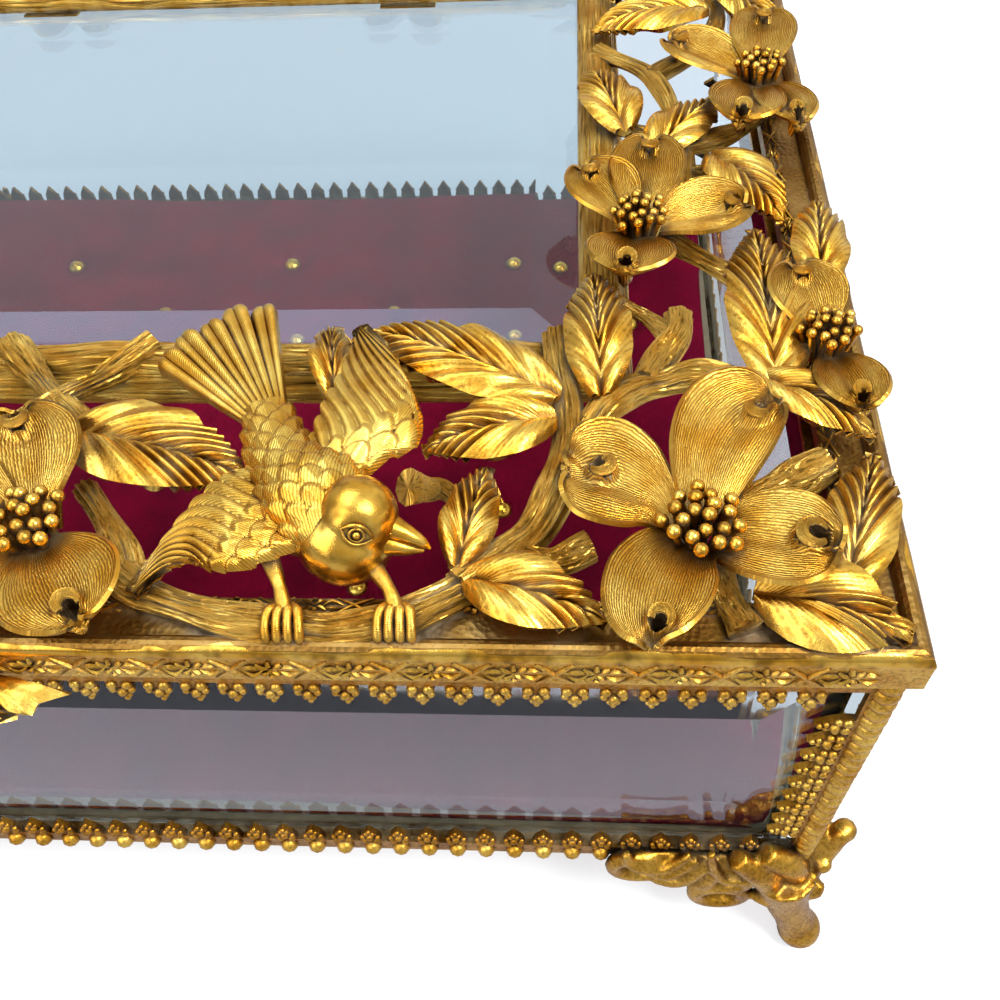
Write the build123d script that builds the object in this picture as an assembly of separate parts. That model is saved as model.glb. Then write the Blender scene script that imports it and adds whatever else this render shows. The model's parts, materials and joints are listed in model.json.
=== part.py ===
"""Jewelry casket: gilt brass, bevelled glass walls, velvet cushion and a hinged openwork lid.

Frame: X runs along the long front, Y from front (-) to back (+), Z up.
The origin is the middle of the footprint, on the surface that the feet stand on.
"""

from build123d import *

import os
from math import atan2, cos, degrees, hypot, pi, sin

# Driving dimensions of the walls, in millimetres
BODY_LENGTH = 175.2
BODY_DEPTH = 136.6
BASE_Z = 20.0
BODY_HEIGHT = 51.7
SHEET = 0.8
GLASS = 4.0
GLASS_PLAY = 0.1
GLASS_EDGE = 2.4
WALL_BEVEL = 10.5
FLANGE_WIDTH = 4.7

# Heart-edged gallery strips, hearts counted along each wall
HEART_PITCH = 3.81
HEART_GAP = 1.0
HEART_HEIGHT = 3.9
TOP_RAIL_HEIGHT = 3.4
BOTTOM_RAIL_HEIGHT = 2.8
POST_LEG = 2.3
POST_END = 0.4

# Base, cushion and its studs
PLATE = 1.2
BOARD = 1.2
CUSHION_PLAY = 0.5
CUSHION_EDGE = 2.2
CUSHION_CROWN = 3.6
CUSHION_DRAWN_IN = 1.6
STUD_PITCH_X = 43.0
STUD_PITCH_Y = 29.0
STUD_SHIFT_X = 3.0
STUD_SHIFT_Y = 2.0
STUD_RADIUS = 1.7
STUD_HEIGHT = 1.3
STUD_SEAT_PLAY = 0.3
TUFT_RADIUS = 6.5
TUFT_DEPTH = 1.5

# Feet
TOE_OUT_X = 1.9
TOE_OUT_Y = 3.9
TOE_RADIUS = 3.0
TOE_FLAT = 0.2
WING = 2.0
WING_TOP = 3.4
WING_SPAN = 25.5
WING_FOOT_Z = 9.0
END_LOBE = 4.4
MIDDLE_LOBE = 3.8
CORNER_LOBE = 5.2
LEG_RADIUS = 3.6
ANKLE_RADIUS = 2.1
EAR_OUT = 4.4
EAR_BACK = 2.4
EAR_RISE = 5.0
EAR_RADIUS = 2.0
EAR_STEM_RADIUS = 2.2
PAD = 1.6
PAD_WIDTH = 3.0

# Lid frame
LID_OVERHANG = 1.4
LID_GAP = 0.3
BAND = 0.8
BAND_HEIGHT = 3.9
SKIRT = 1.6
LEDGE_WIDTH = 6.6
LEDGE = 1.8
LID_FACE_RISE = 4.0
BEAD_WIDTH = 2.2
BEAD_HEIGHT = 1.4

# Openwork strips from the lid's edge to the glass, the front one the widest
FRONT_STRIP = 41.1
SIDE_STRIP = 31.1
BACK_STRIP = 19.2

# Lid glass and the frame round it
INNER_RAIL = 4.7
INNER_FLANGE = 1.1
INNER_LIP = 0.9
LID_GLASS_PLAY = 0.2
LID_GLASS_SET = 0.2
LID_BEVEL = 9.5
LID_GLASS = 4.0
CLIP = 0.8
CLIP_WIDTH = 9.0
CLIP_X = 30.0

# Relief layers of the openwork, each lying on the one below
BRANCH = 2.2
BRANCH_STEP = 0.62
LEAF = 1.6
LEAF_EDGE = 0.7
PETAL = 0.9
PETAL_LIFT = 1.2
LAYER_PLAY = 0.05
STAMEN_LAP = 0.2
STAMEN_PLAY = 0.1
STAMEN_RISE = 2.8
STAMEN_DOME = 1.35

# Hinge
HINGE_X = 45.0
HINGE_LENGTH = 20.0
KNUCKLE_RADIUS = 1.6
PIN_RADIUS = 0.8
PIN_PLAY = 0.05
KNUCKLE_PLAY = 0.1
HINGE_SWING_GAP = 0.3
HINGE_PLATE = 0.85
HINGE_LEAF_HEIGHT = 6.5

# Thumb tab on the front of the lid
TAB_WIDTH = 20.0
TAB_REACH = 4.2
TAB_THICK = 1.4
TAB_RISE = 0.5
TOUCH = 0.02

# Places and planes that follow from the sizes above
BODY_X = BODY_LENGTH / 2
BODY_Y = BODY_DEPTH / 2
BODY_TOP_Z = BASE_Z + BODY_HEIGHT
HEART_WIDTH = HEART_PITCH - HEART_GAP
LID_X = BODY_X + LID_OVERHANG
LID_Y = BODY_Y + LID_OVERHANG
LID_BOTTOM_Z = BODY_TOP_Z + LID_GAP
LID_FACE_Z = LID_BOTTOM_Z + LID_FACE_RISE
SIGHT_X = LID_X - SIDE_STRIP
SIGHT_FRONT = FRONT_STRIP - LID_Y
SIGHT_BACK = LID_Y - BACK_STRIP
LID_GLASS_TOP_Z = LID_FACE_Z - LID_GLASS_SET
LID_GLASS_BOTTOM_Z = LID_GLASS_TOP_Z - LID_GLASS
LID_GLASS_LAP = INNER_RAIL - INNER_LIP - LID_GLASS_PLAY
GLASS_X = BODY_X - SHEET
GLASS_Y = BODY_Y - SHEET
INSIDE_X = GLASS_X - GLASS
INSIDE_Y = GLASS_Y - GLASS
BRANCH_Z = LID_FACE_Z
LEAF_Z = BRANCH_Z + BRANCH
PETAL_Z = LEAF_Z + LEAF + LAYER_PLAY
CUSHION_Z = BASE_Z + SHEET + PLATE + BOARD
HINGE_Y = LID_Y + KNUCKLE_RADIUS + KNUCKLE_PLAY
HINGE_Z = BODY_TOP_Z + LID_GAP / 2

# Lines that the openwork below was drawn against: glass and lid edge to the side, then front to back.
# Its points move with the frame when the frame changes.
DRAWN_ACROSS = (0, 57.9, 89.0)
DRAWN_DEEP = (-69.7, -28.6, 50.5, 69.7)

# Openwork of the right half, as plan points in millimetres; the left half mirrors it
FRONT_BRANCHES = {
    "main": (
        3.4,
        [(12.5, -60), (16.5, -63), (23, -65.2), (30, -65.6), (36, -65.6), (43, -64), (47, -61.5)],
    ),
    "trunk": (3.6, [(47, -61.5), (51, -57.4), (55, -51), (56.3, -44), (56.3, -36), (55.5, -30.5)]),
    "stub": (2.6, [(52.5, -57.5), (58.5, -58.2)]),
    "arch": (
        3.0,
        [(56.3, -48), (58.7, -43.5), (61, -38.5), (64.5, -35.2), (69, -34), (76, -35.5), (85, -36.5)],
    ),
    "twig_to_blossom": (2.8, [(13, -60.5), (9.5, -55), (6.5, -50.5)]),
    "bud_stem": (1.8, [(47.5, -60), (45.5, -54), (41.5, -52)]),
    "cut_twig": (3.2, [(72, -54.5), (84, -48)]),
    "corner_stub": (3.0, [(70.5, -58), (73, -65)]),
    "inner_twig": (2.4, [(67, -34.4), (68, -28), (61, -24)]),
    "small_stem": (1.8, [(36, -65), (35, -52), (31, -42), (30.3, -30)]),
}
FRONT_LEAVES = {
    "over_wing": ((55, -38.1), (34.8, -29.8), 9.0),
    "under_trunk": ((55.2, -41.7), (42.4, -47.8), 8.5),
    "low_upright": ((46.8, -61.5), (48.1, -49.7), 6.0),
    "low_right": ((46.9, -62.5), (59.3, -67.3), 8.0),
    "behind_tail": ((2.0, -43.7), (23.4, -49.8), 9.5),
    "corner_upright": ((59.8, -35.2), (58.3, -19.8), 7.5),
    "curled": ((30.7, -39.5), (29.3, -28.2), 5.0),
    "tall": ((77.1, -37.5), (79.2, -12.6), 9.5),
    "short": ((77.1, -37.2), (86.0, -46.4), 6.5),
    "rim_upright": ((81.2, -63.5), (87.2, -48.5), 7.5),
    "rim_flat": ((74.7, -63.5), (86.4, -67.5), 7.5),
}
FRONT_BLOSSOMS = {
    "corner": (
        (68.9, -57.2),
        4.4,
        [((75, -40), 13.0), ((56.6, -48.8), 12.5), ((64.2, -69), 12.0), ((81.5, -58.8), 12.0)],
    ),
}
MIDDLE_BLOSSOM = {
    "middle": (
        (3.0, -57.0),
        3.8,
        [((-1.5, -44), 9.5), ((12.5, -67.5), 9.5), ((-3, -67.5), 9.5), ((-9.5, -54), 9.5)],
    ),
}
SIDE_BRANCHES = {
    "rise": (2.8, [(61.5, -16.5), (67.5, -11), (71, -3), (71.2, 9.8), (68, 23), (60.5, 31.5)]),
    "upper": (2.8, [(68, 23), (76, 32), (78.5, 44), (70, 53), (60.5, 49)]),
    "outer": (2.6, [(71.2, 6), (79, 11), (85, 17)]),
    "low": (2.6, [(67.5, -11), (77, -19), (85, -26)]),
    "inner_twig": (2.2, [(71.2, 8), (66, 10.5), (62.5, 11)]),
    "outer_twig": (2.2, [(71.2, 2), (77, 0)]),
}
SIDE_LEAVES = {
    "inner_low": ((63.5, 8.5), (59.6, 22.0), 7.5),
    "middle": ((67.0, 2.5), (75.5, 14.0), 6.5),
    "outer_low": ((74.5, 3.0), (82.0, -9.5), 7.0),
    "outer": ((85.2, -22.5), (87.5, -8.0), 6.0),
    "upper_inner": ((76.5, 39.0), (60.0, 34.5), 9.0),
    "upper_outer": ((79.0, 45.0), (86.5, 33.0), 6.5),
    "top": ((72.0, 52.5), (63.0, 44.0), 7.5),
}
SIDE_BLOSSOMS = {
    "middle": (
        (64.8, -12.8),
        3.5,
        [((57.6, -3), 8.5), ((67.5, -1), 8.5), ((77.5, -10.5), 8.5), ((64, -22.6), 9.5)],
    ),
    "upper": (
        (82.2, 18.5),
        3.1,
        [((70.5, 26.5), 7.5), ((78, 6.6), 8.5), ((87, 7), 6.5), ((84.5, 31), 7.5)],
    ),
    "rim": ((84.4, -32.8), 3.2, [((82.5, -22.0), 7.5), ((86.6, -43.0), 6.5)]),
    "back_corner": (
        (72.5, 57.5),
        3.6,
        [((63.5, 55), 8.5), ((78.5, 49), 8.0), ((84, 61.5), 8.5), ((70.5, 66.5), 8.0)],
    ),
}
BACK_BRANCHES = {
    "run": (2.6, [(0, 57.5), (10, 60.5), (22, 57), (34, 60.5), (46, 57), (58, 61)]),
    "tie_1": (2.2, [(10, 60), (7, 53)]),
    "tie_2": (2.2, [(34, 60), (30, 53)]),
    "tie_3": (2.2, [(22, 57), (25, 64.5)]),
    "tie_4": (2.2, [(46, 57), (49, 64.5)]),
}
BACK_LEAVES = {
    "first": ((4.5, 58.5), (13.5, 54.0), 4.8),
    "second": ((12.0, 60.5), (21.5, 64.5), 4.8),
    "third": ((36.0, 60.0), (44.5, 65.0), 4.8),
    "fourth": ((47.0, 57.5), (56.5, 53.5), 4.8),
}
BACK_BLOSSOMS = {
    "small": ((28.5, 59.0), 2.4, [((22.5, 54), 5.5), ((35, 54), 5.5), ((35, 65), 5.5), ((22, 65), 5.5)]),
}
BIRD_TAIL = (26.0, -42.3)
BIRD_HEAD = (36.5, -57.6)
BIRD_BODY_WIDTH = 12.5
BIRD_HEAD_RADIUS = 4.5
BIRD_RISE = 1.6
BIRD_FLATTEN = 0.7
BIRD_END = 2.0
BEAK_TIP = (43.2, -60.0)
TAIL_FAN = [
    (25, -42.8),
    (11, -35.3),
    (12.5, -32.8),
    (16.4, -28.9),
    (22.1, -26.8),
    (23.6, -28.4),
    (27.5, -41.6),
]
RIGHT_WING = [(30, -44), (31.5, -37), (33.5, -31.2), (37.5, -37), (41.3, -45), (40, -49.5), (36.5, -51.5)]
LEFT_WING = [
    (29.5, -53),
    (25.3, -51.2),
    (20.5, -52.3),
    (16.5, -57.5),
    (15.1, -63),
    (20.5, -61.5),
    (25.5, -62.3),
    (30, -60.5),
]
LEGS = [((29.0, -59.0), (30.3, -64.8)), ((38.5, -61.0), (40.3, -64.6))]

SIDES = ("front", "right", "back", "left")
CORNERS = {"front_right": (1, -1), "front_left": (-1, -1), "back_right": (1, 1), "back_left": (-1, 1)}


def save(node, *solids):
    """Write the solids of one piece to its own file."""
    flat = [s for shape in solids for s in shape.solids()]
    shape = flat[0] if len(flat) == 1 else Compound(flat)
    shape.label = node
    export_step(shape, f"parts/{node}.step")


def box(x0, x1, y0, y1, z0, z1):
    """A block between two corners."""
    return Pos((x0 + x1) / 2, (y0 + y1) / 2, (z0 + z1) / 2) * Box(x1 - x0, y1 - y0, z1 - z0)


def between(value, drawn, real):
    """Carry a coordinate from the lines it was drawn against to where those lines are."""
    for i in range(1, len(drawn)):
        if value <= drawn[i] or i == len(drawn) - 1:
            share = (value - drawn[i - 1]) / (drawn[i] - drawn[i - 1])
            return real[i - 1] + share * (real[i] - real[i - 1])


def placed(point):
    """Where a drawn point of the openwork lies on the lid."""
    across = between(abs(point[0]), DRAWN_ACROSS, (0, SIGHT_X, LID_X))
    deep = between(point[1], DRAWN_DEEP, (-LID_Y, SIGHT_FRONT, SIGHT_BACK, LID_Y))
    return (across if point[0] >= 0 else -across), deep


def plate(outline, z0, z1):
    """A flat plate with a plan outline, from z0 up to z1."""
    return Pos(0, 0, z0) * extrude(make_face(Polyline(*outline, close=True)), z1 - z0, dir=(0, 0, 1))


def upright(outline, inner, outer):
    """A sheet standing in a front wall: outline in X and Z, between two distances from the middle."""
    face = make_face(Polyline(*[(x, -outer, z) for x, z in outline], close=True))
    return extrude(face, outer - inner, dir=(0, 1, 0))


def solid_of(points, faces):
    """A closed solid from corner points and flat faces given as lists of corner numbers."""
    made = [Face(Wire.make_polygon([Vector(*points[i]) for i in face])) for face in faces]
    solid = Solid(Shell(made))
    return solid if solid.volume > 0 else Solid(Shell([-face for face in made]))


def frustum(lower, upper):
    """A solid between two outlines with as many corners, joined by flat sides."""
    n = len(lower)
    ring = [[i, (i + 1) % n, n + (i + 1) % n, n + i] for i in range(n)]
    return solid_of(list(lower) + list(upper), [list(range(n))[::-1], list(range(n, 2 * n))] + ring)


def to_side(shape, side):
    """Turn a front piece to another side."""
    return Rot(0, 0, {"front": 0, "right": 90, "back": 180, "left": 270}[side]) * shape


def wall_size(side, along_x, along_y):
    """Half length along a side and its distance from the middle."""
    return (along_x, along_y) if side in ("front", "back") else (along_y, along_x)


def mitred(profile, half_length, distance):
    """A bar along the front, its profile given as (distance inward, Z), with ends cut at 45 degrees."""
    reach = max(d for d, _ in profile) + 1.0
    face = make_face(Polyline(*[(0, d - distance, z) for d, z in profile], close=True))
    bar = extrude(face, half_length, dir=(1, 0, 0), both=True)
    low, high = min(z for _, z in profile) - 1, max(z for _, z in profile) + 1
    outline = [(-half_length, -distance), (half_length, -distance)]
    outline += [(half_length - reach, reach - distance), (reach - half_length, reach - distance)]
    return bar & plate(outline, low, high)


def heart_edge(count, pitch, base, direction):
    """Corner points of a row of hearts that point up (1) or down (-1) from a base line."""
    half = HEART_WIDTH / 2
    heart = [(-0.95, 0), (-1, 0.23), (-0.7, 0.6), (0, 1), (0.7, 0.6), (1, 0.23), (0.95, 0)]
    points = []
    for i in range(count):
        middle = (i - (count - 1) / 2) * pitch
        points += [(middle + u * half, base + direction * w * HEART_HEIGHT) for u, w in heart]
    return points


def gallery(side, at_top):
    """One wall's stamped strip: rail, row of hearts and the flange that covers the glass edge."""
    half, distance = wall_size(side, BODY_X, BODY_Y)
    rail = half - POST_LEG
    count = int(2 * rail / HEART_PITCH / 2) * 2 - 1
    if at_top:
        edge, base, direction = BODY_TOP_Z, BODY_TOP_Z - TOP_RAIL_HEIGHT, -1
        flange_z = BODY_TOP_Z - SHEET
    else:
        edge, base, direction = BASE_Z, BASE_Z + BOTTOM_RAIL_HEIGHT, 1
        flange_z = BASE_Z
    outline = [(-rail, edge), (-rail, base)]
    outline += heart_edge(count, HEART_PITCH, base, direction)
    outline += [(rail, base), (rail, edge)]
    strip = upright(outline, distance - SHEET, distance)
    inner = FLANGE_WIDTH
    flange = [(SHEET - half, SHEET - distance), (half - SHEET, SHEET - distance)]
    deep = SHEET + inner
    flange += [(half - deep, deep - distance), (deep - half, deep - distance)]
    return to_side(strip + plate(flange, flange_z, flange_z + SHEET), side)


def post(sx, sy):
    """A corner angle with hearts down both legs that point at the glass."""
    low = BASE_Z + BOTTOM_RAIL_HEIGHT + HEART_HEIGHT + POST_END
    high = BODY_TOP_Z - TOP_RAIL_HEIGHT - HEART_HEIGHT - POST_END
    count = int((high - low) / HEART_PITCH)
    middle = (low + high) / 2
    hearts = heart_edge(count, HEART_PITCH, POST_LEG, 1)
    outline = [(BASE_Z, 0), (BASE_Z, POST_LEG)]
    outline += [(middle + z, out) for z, out in hearts]
    outline += [(BODY_TOP_Z, POST_LEG), (BODY_TOP_Z, 0)]
    front = make_face(Polyline(*[(BODY_X - out, -BODY_Y, z) for z, out in outline], close=True))
    side = make_face(Polyline(*[(BODY_X, out - BODY_Y, z) for z, out in outline], close=True))
    angle = extrude(front, SHEET, dir=(0, 1, 0)) + extrude(side, SHEET, dir=(-1, 0, 0))
    if sx < 0:
        angle = mirror(angle, about=Plane.YZ)
    return mirror(angle, about=Plane.XZ) if sy > 0 else angle


def wall_glass(side):
    """A clear pane, bevelled all round on its outer face."""
    along_front = side in ("front", "back")
    half = (GLASS_X if along_front else INSIDE_Y) - GLASS_PLAY
    distance = GLASS_Y if along_front else GLASS_X
    z0, z1 = BASE_Z + SHEET + GLASS_PLAY / 2, BODY_TOP_Z - SHEET - GLASS_PLAY / 2

    def ring(inset, depth):
        corners = [(-half + inset, z0 + inset), (half - inset, z0 + inset)]
        corners += [(half - inset, z1 - inset), (-half + inset, z1 - inset)]
        return [(x, depth - distance, z) for x, z in corners]

    back = ring(0, GLASS)
    edge = ring(0, GLASS - GLASS_EDGE)
    face = ring(WALL_BEVEL, 0)
    sides = [[i, (i + 1) % 4, 4 + (i + 1) % 4, 4 + i] for i in range(4)]
    slopes = [[4 + i, 4 + (i + 1) % 4, 8 + (i + 1) % 4, 8 + i] for i in range(4)]
    pane = solid_of(back + edge + face, [[3, 2, 1, 0], [8, 9, 10, 11]] + sides + slopes)
    return to_side(pane, side)


def stud_places():
    """Plan points of the cushion's studs, in staggered rows inside its edge."""
    places = []
    rows = int(2 * INSIDE_Y / STUD_PITCH_Y) + 1
    columns = int(INSIDE_X / STUD_PITCH_X) + 1
    for row in range(-rows, rows + 1):
        y = row * STUD_PITCH_Y / 2 - STUD_SHIFT_Y
        shift = STUD_SHIFT_X + (0 if row % 2 else STUD_PITCH_X / 2)
        for column in range(-columns, columns + 1):
            x = shift + column * STUD_PITCH_X
            if abs(x) < INSIDE_X - 2 * TUFT_RADIUS and abs(y) < INSIDE_Y - 1.2 * TUFT_RADIUS:
                places.append((x, y))
    return places


def cushion_height(x, y):
    """Height of the crowned top over its edge, without the tufts."""
    across = CUSHION_CROWN * (1 - (x / (INSIDE_X - CUSHION_PLAY)) ** 4)
    half = INSIDE_Y - CUSHION_PLAY
    radius = (half * half + across * across) / (2 * across) if across > 0.01 else 1e6
    return CUSHION_EDGE + across - radius + (radius * radius - y * y) ** 0.5


def cushion():
    """The crowned pad: sides drawn in between the corners, and a sewn tuft under every stud."""
    half_x, half_y = INSIDE_X - CUSHION_PLAY, INSIDE_Y - CUSHION_PLAY
    sections = []
    for share in (-1, -0.85, -0.6, -0.3, 0, 0.3, 0.6, 0.85, 1):
        x = share * half_x
        rise = CUSHION_CROWN * (1 - share**4) + 0.3
        side_z = CUSHION_Z + CUSHION_EDGE
        top = ThreePointArc((x, half_y, side_z), (x, 0, side_z + rise), (x, -half_y, side_z))
        low = [(x, -half_y, CUSHION_Z), (x, half_y, CUSHION_Z)]
        walls = Polyline((x, -half_y, side_z), *low, (x, half_y, side_z))
        sections.append(make_face(top + walls))
    pad = Solid(loft(sections).wrapped)
    for half, other, turn in ((half_y, half_x, 0), (half_x, half_y, 90)):
        radius = (other * other + CUSHION_DRAWN_IN**2) / (2 * CUSHION_DRAWN_IN)
        for sign in (-1, 1):
            scoop = Pos(0, sign * (half - CUSHION_DRAWN_IN + radius), CUSHION_Z + 5) * Cylinder(radius, 20)
            pad = pad - Rot(0, 0, turn) * scoop
    for x, y in stud_places():
        seat = CUSHION_Z + cushion_height(x, y) - TUFT_DEPTH
        hollow = Cone(STUD_RADIUS + STUD_SEAT_PLAY, TUFT_RADIUS, 2 * TUFT_DEPTH)
        pad = pad - Pos(x, y, seat + TUFT_DEPTH) * hollow
    return pad


def studs():
    """Domed buttons, each seated in its tuft."""
    radius = (STUD_RADIUS**2 + STUD_HEIGHT**2) / (2 * STUD_HEIGHT)
    made = []
    for x, y in stud_places():
        seat = CUSHION_Z + cushion_height(x, y) - TUFT_DEPTH + LAYER_PLAY
        dome = Pos(x, y, seat + STUD_HEIGHT - radius) * Sphere(radius)
        made.append(dome & box(x - radius, x + radius, y - radius, y + radius, seat, seat + radius))
    return made


def foot(sx, sy):
    """A cast scroll foot: two lobed wings along the walls, a leg to a round toe and a corner scroll."""
    top = BASE_Z + WING_TOP
    end = WING_SPAN - END_LOBE
    mid = end - END_LOBE - 0.3 * MIDDLE_LOBE
    low = 0.9 * 2 * CORNER_LOBE
    lobes = (
        (end, top - 0.95 * END_LOBE, END_LOBE),
        (mid, top - 1.55 * MIDDLE_LOBE, MIDDLE_LOBE),
        (low, WING_FOOT_Z + 0.7 * CORNER_LOBE, CORNER_LOBE),
    )

    def wing():
        lower = [(end - END_LOBE, BASE_Z - WING_TOP), (low, WING_FOOT_Z), (0, WING_FOOT_Z + 1)]
        sheet = make_face(Polyline((0, top), (end, top), *lower, close=True))
        for along, z, radius in lobes:
            sheet += Pos(along, z) * Circle(radius)
        return extrude(sheet, WING)

    front = Location((BODY_X, -BODY_Y, 0), (90, 0, 0)) * mirror(wing(), about=Plane.YZ)
    side = Location((BODY_X, -BODY_Y, 0)) * (Rot(0, 0, 90) * (Rot(90, 0, 0) * wing()))
    out_x, out_y = BODY_X + WING, -BODY_Y - WING
    corner = box(BODY_X, out_x, out_y, -BODY_Y, WING_FOOT_Z, top)
    under_x = box(BODY_X - end, out_x, out_y, PAD_WIDTH - BODY_Y, BASE_Z - PAD, BASE_Z)
    under_y = box(BODY_X - PAD_WIDTH, out_x, out_y, end - BODY_Y, BASE_Z - PAD, BASE_Z)
    toe_at = Vector(BODY_X + TOE_OUT_X, -BODY_Y - TOE_OUT_Y, TOE_RADIUS - TOE_FLAT)
    hip = Vector(BODY_X - PAD_WIDTH / 2, -BODY_Y, BASE_Z - PAD - ANKLE_RADIUS)
    run = toe_at - hip
    leg = Solid.make_cone(LEG_RADIUS, ANKLE_RADIUS, run.length, Plane(origin=hip, z_dir=run))
    shape = front + side + corner + under_x + under_y + leg + Pos(*toe_at) * Sphere(TOE_RADIUS)
    for ear_x, ear_y in ((EAR_OUT, -EAR_BACK), (-EAR_BACK, EAR_OUT)):
        ear_at = Vector(BODY_X + ear_x, -BODY_Y - ear_y, BASE_Z + EAR_RISE)
        root = Vector(BODY_X + WING / 2, -BODY_Y - WING / 2, BASE_Z - EAR_STEM_RADIUS * 2.7)
        rise = ear_at - root
        frame = Plane(origin=root, z_dir=rise)
        stem = Solid.make_cone(EAR_STEM_RADIUS, EAR_RADIUS * 0.75, rise.length, frame)
        shape = shape + stem + Pos(*ear_at) * Sphere(EAR_RADIUS)
    shape = shape - box(0, 2 * BODY_X, -2 * BODY_Y, 0, -BASE_Z, 0)
    if sx < 0:
        shape = mirror(shape, about=Plane.YZ)
    return mirror(shape, about=Plane.XZ) if sy > 0 else shape


def lid_rail(side):
    """The lid's outer rail: inner skirt, ledge and a rounded bead along the edge."""
    half, distance = wall_size(side, LID_X, LID_Y)
    angles = [step * pi / 8 for step in range(9)]
    profile = [(BEAD_WIDTH / 2 * (1 - cos(a)), LID_FACE_Z + BEAD_HEIGHT * sin(a)) for a in angles]
    band_top = LID_BOTTOM_Z + BAND_HEIGHT
    under = LID_FACE_Z - LEDGE
    inner = BAND + SKIRT
    profile += [(LEDGE_WIDTH, LID_FACE_Z), (LEDGE_WIDTH, under), (inner, under), (inner, LID_BOTTOM_Z)]
    profile += [(BAND, LID_BOTTOM_Z), (BAND, band_top), (0, band_top)]
    return to_side(mitred(profile, half, distance), side)


def lid_band(side):
    """The embossed strip round the lid's edge."""
    half, distance = wall_size(side, LID_X, LID_Y)
    high = LID_BOTTOM_Z + BAND_HEIGHT
    profile = [(0, LID_BOTTOM_Z), (BAND, LID_BOTTOM_Z), (BAND, high), (0, high)]
    return to_side(mitred(profile, half, distance), side)


def ring_quarter(side, outline_of, profile):
    """One side of a rectangular ring that isn't centred, its profile as (distance outward, Z)."""
    x0, x1, y0, y1 = outline_of
    lengths = {
        "front": (x0, x1, -y0),
        "back": (-x1, -x0, y1),
        "right": (y0, y1, x1),
        "left": (-y1, -y0, -x0),
    }
    start, end, distance = lengths[side]
    reach = max(d for d, _ in profile)
    face = make_face(Polyline(*[(0, -distance - d, z) for d, z in profile], close=True))
    bar = extrude(face, 2 * LID_X, dir=(1, 0, 0), both=True)
    low, high = min(z for _, z in profile) - 1, max(z for _, z in profile) + 1
    outline = [(start, -distance), (end, -distance)]
    outline += [(end + reach, -distance - reach), (start - reach, -distance - reach)]
    return to_side(bar & plate(outline, low, high), side)


def inner_rail(side):
    """One side of the frame that holds the lid's glass."""
    under = LID_FACE_Z - INNER_FLANGE
    foot_z = LID_GLASS_BOTTOM_Z - GLASS_PLAY
    profile = [(0, under), (0, LID_FACE_Z), (INNER_RAIL, LID_FACE_Z), (INNER_RAIL, foot_z)]
    profile += [(INNER_RAIL - INNER_LIP, foot_z), (INNER_RAIL - INNER_LIP, under)]
    return ring_quarter(side, (-SIGHT_X, SIGHT_X, SIGHT_FRONT, SIGHT_BACK), profile)


def lid_glass():
    """The lid's clear pane, bevelled on top so that its edge passes under the frame's flange."""
    lap = LID_GLASS_LAP
    under = LID_FACE_Z - INNER_FLANGE - LID_GLASS_PLAY
    share = lap / LID_BEVEL
    edge = (under - LID_GLASS_TOP_Z * share) / (1 - share)

    def ring(inset, z):
        x, y0, y1 = SIGHT_X + lap - inset, SIGHT_FRONT - lap + inset, SIGHT_BACK + lap - inset
        return [(-x, y0, z), (x, y0, z), (x, y1, z), (-x, y1, z)]

    points = ring(0, LID_GLASS_BOTTOM_Z) + ring(0, edge) + ring(LID_BEVEL, LID_GLASS_TOP_Z)
    sides = [[i, (i + 1) % 4, 4 + (i + 1) % 4, 4 + i] for i in range(4)]
    slopes = [[4 + i, 4 + (i + 1) % 4, 8 + (i + 1) % 4, 8 + i] for i in range(4)]
    return solid_of(points, [[3, 2, 1, 0], [8, 9, 10, 11]] + sides + slopes)


def glass_clips():
    """Small tabs under the inner rail that keep the glass up."""
    z1 = LID_GLASS_BOTTOM_Z - GLASS_PLAY
    z0 = z1 - CLIP
    half = CLIP_WIDTH / 2
    middle_y = (SIGHT_FRONT + SIGHT_BACK) / 2
    made = []
    for x in (-CLIP_X, CLIP_X):
        made.append(box(x - half, x + half, SIGHT_FRONT - INNER_RAIL, SIGHT_FRONT, z0, z1))
        made.append(box(x - half, x + half, SIGHT_BACK, SIGHT_BACK + INNER_RAIL, z0, z1))
    made.append(box(SIGHT_X, SIGHT_X + INNER_RAIL, middle_y - half, middle_y + half, z0, z1))
    made.append(box(-SIGHT_X - INNER_RAIL, -SIGHT_X, middle_y - half, middle_y + half, z0, z1))
    return made


def stroke(width, points):
    """Plan shape of a branch: rounded runs from point to point."""
    shape = None
    for (x0, y0), (x1, y1) in zip(points, points[1:]):
        run = hypot(x1 - x0, y1 - y0)
        turn = Rot(0, 0, degrees(atan2(y1 - y0, x1 - x0)))
        piece = Pos((x0 + x1) / 2, (y0 + y1) / 2) * turn * SlotCenterToCenter(run, width)
        shape = piece if shape is None else shape + piece
    return shape


def branches(strokes, both_halves=True):
    """Branches with a broad lower layer and a narrower upper one."""
    low = high = None
    for width, points in strokes.values():
        for sign in ((1, -1) if both_halves else (1,)):
            run = [(sign * x, y) for x, y in map(placed, points)]
            wide, slim = stroke(width, run), stroke(width * BRANCH_STEP, run)
            low = wide if low is None else low + wide
            high = slim if high is None else high + slim
    step = BRANCH * BRANCH_STEP
    lower = Pos(0, 0, BRANCH_Z) * extrude(low, step)
    upper = Pos(0, 0, BRANCH_Z + step) * extrude(high, BRANCH - step)
    return lower + upper


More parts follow.
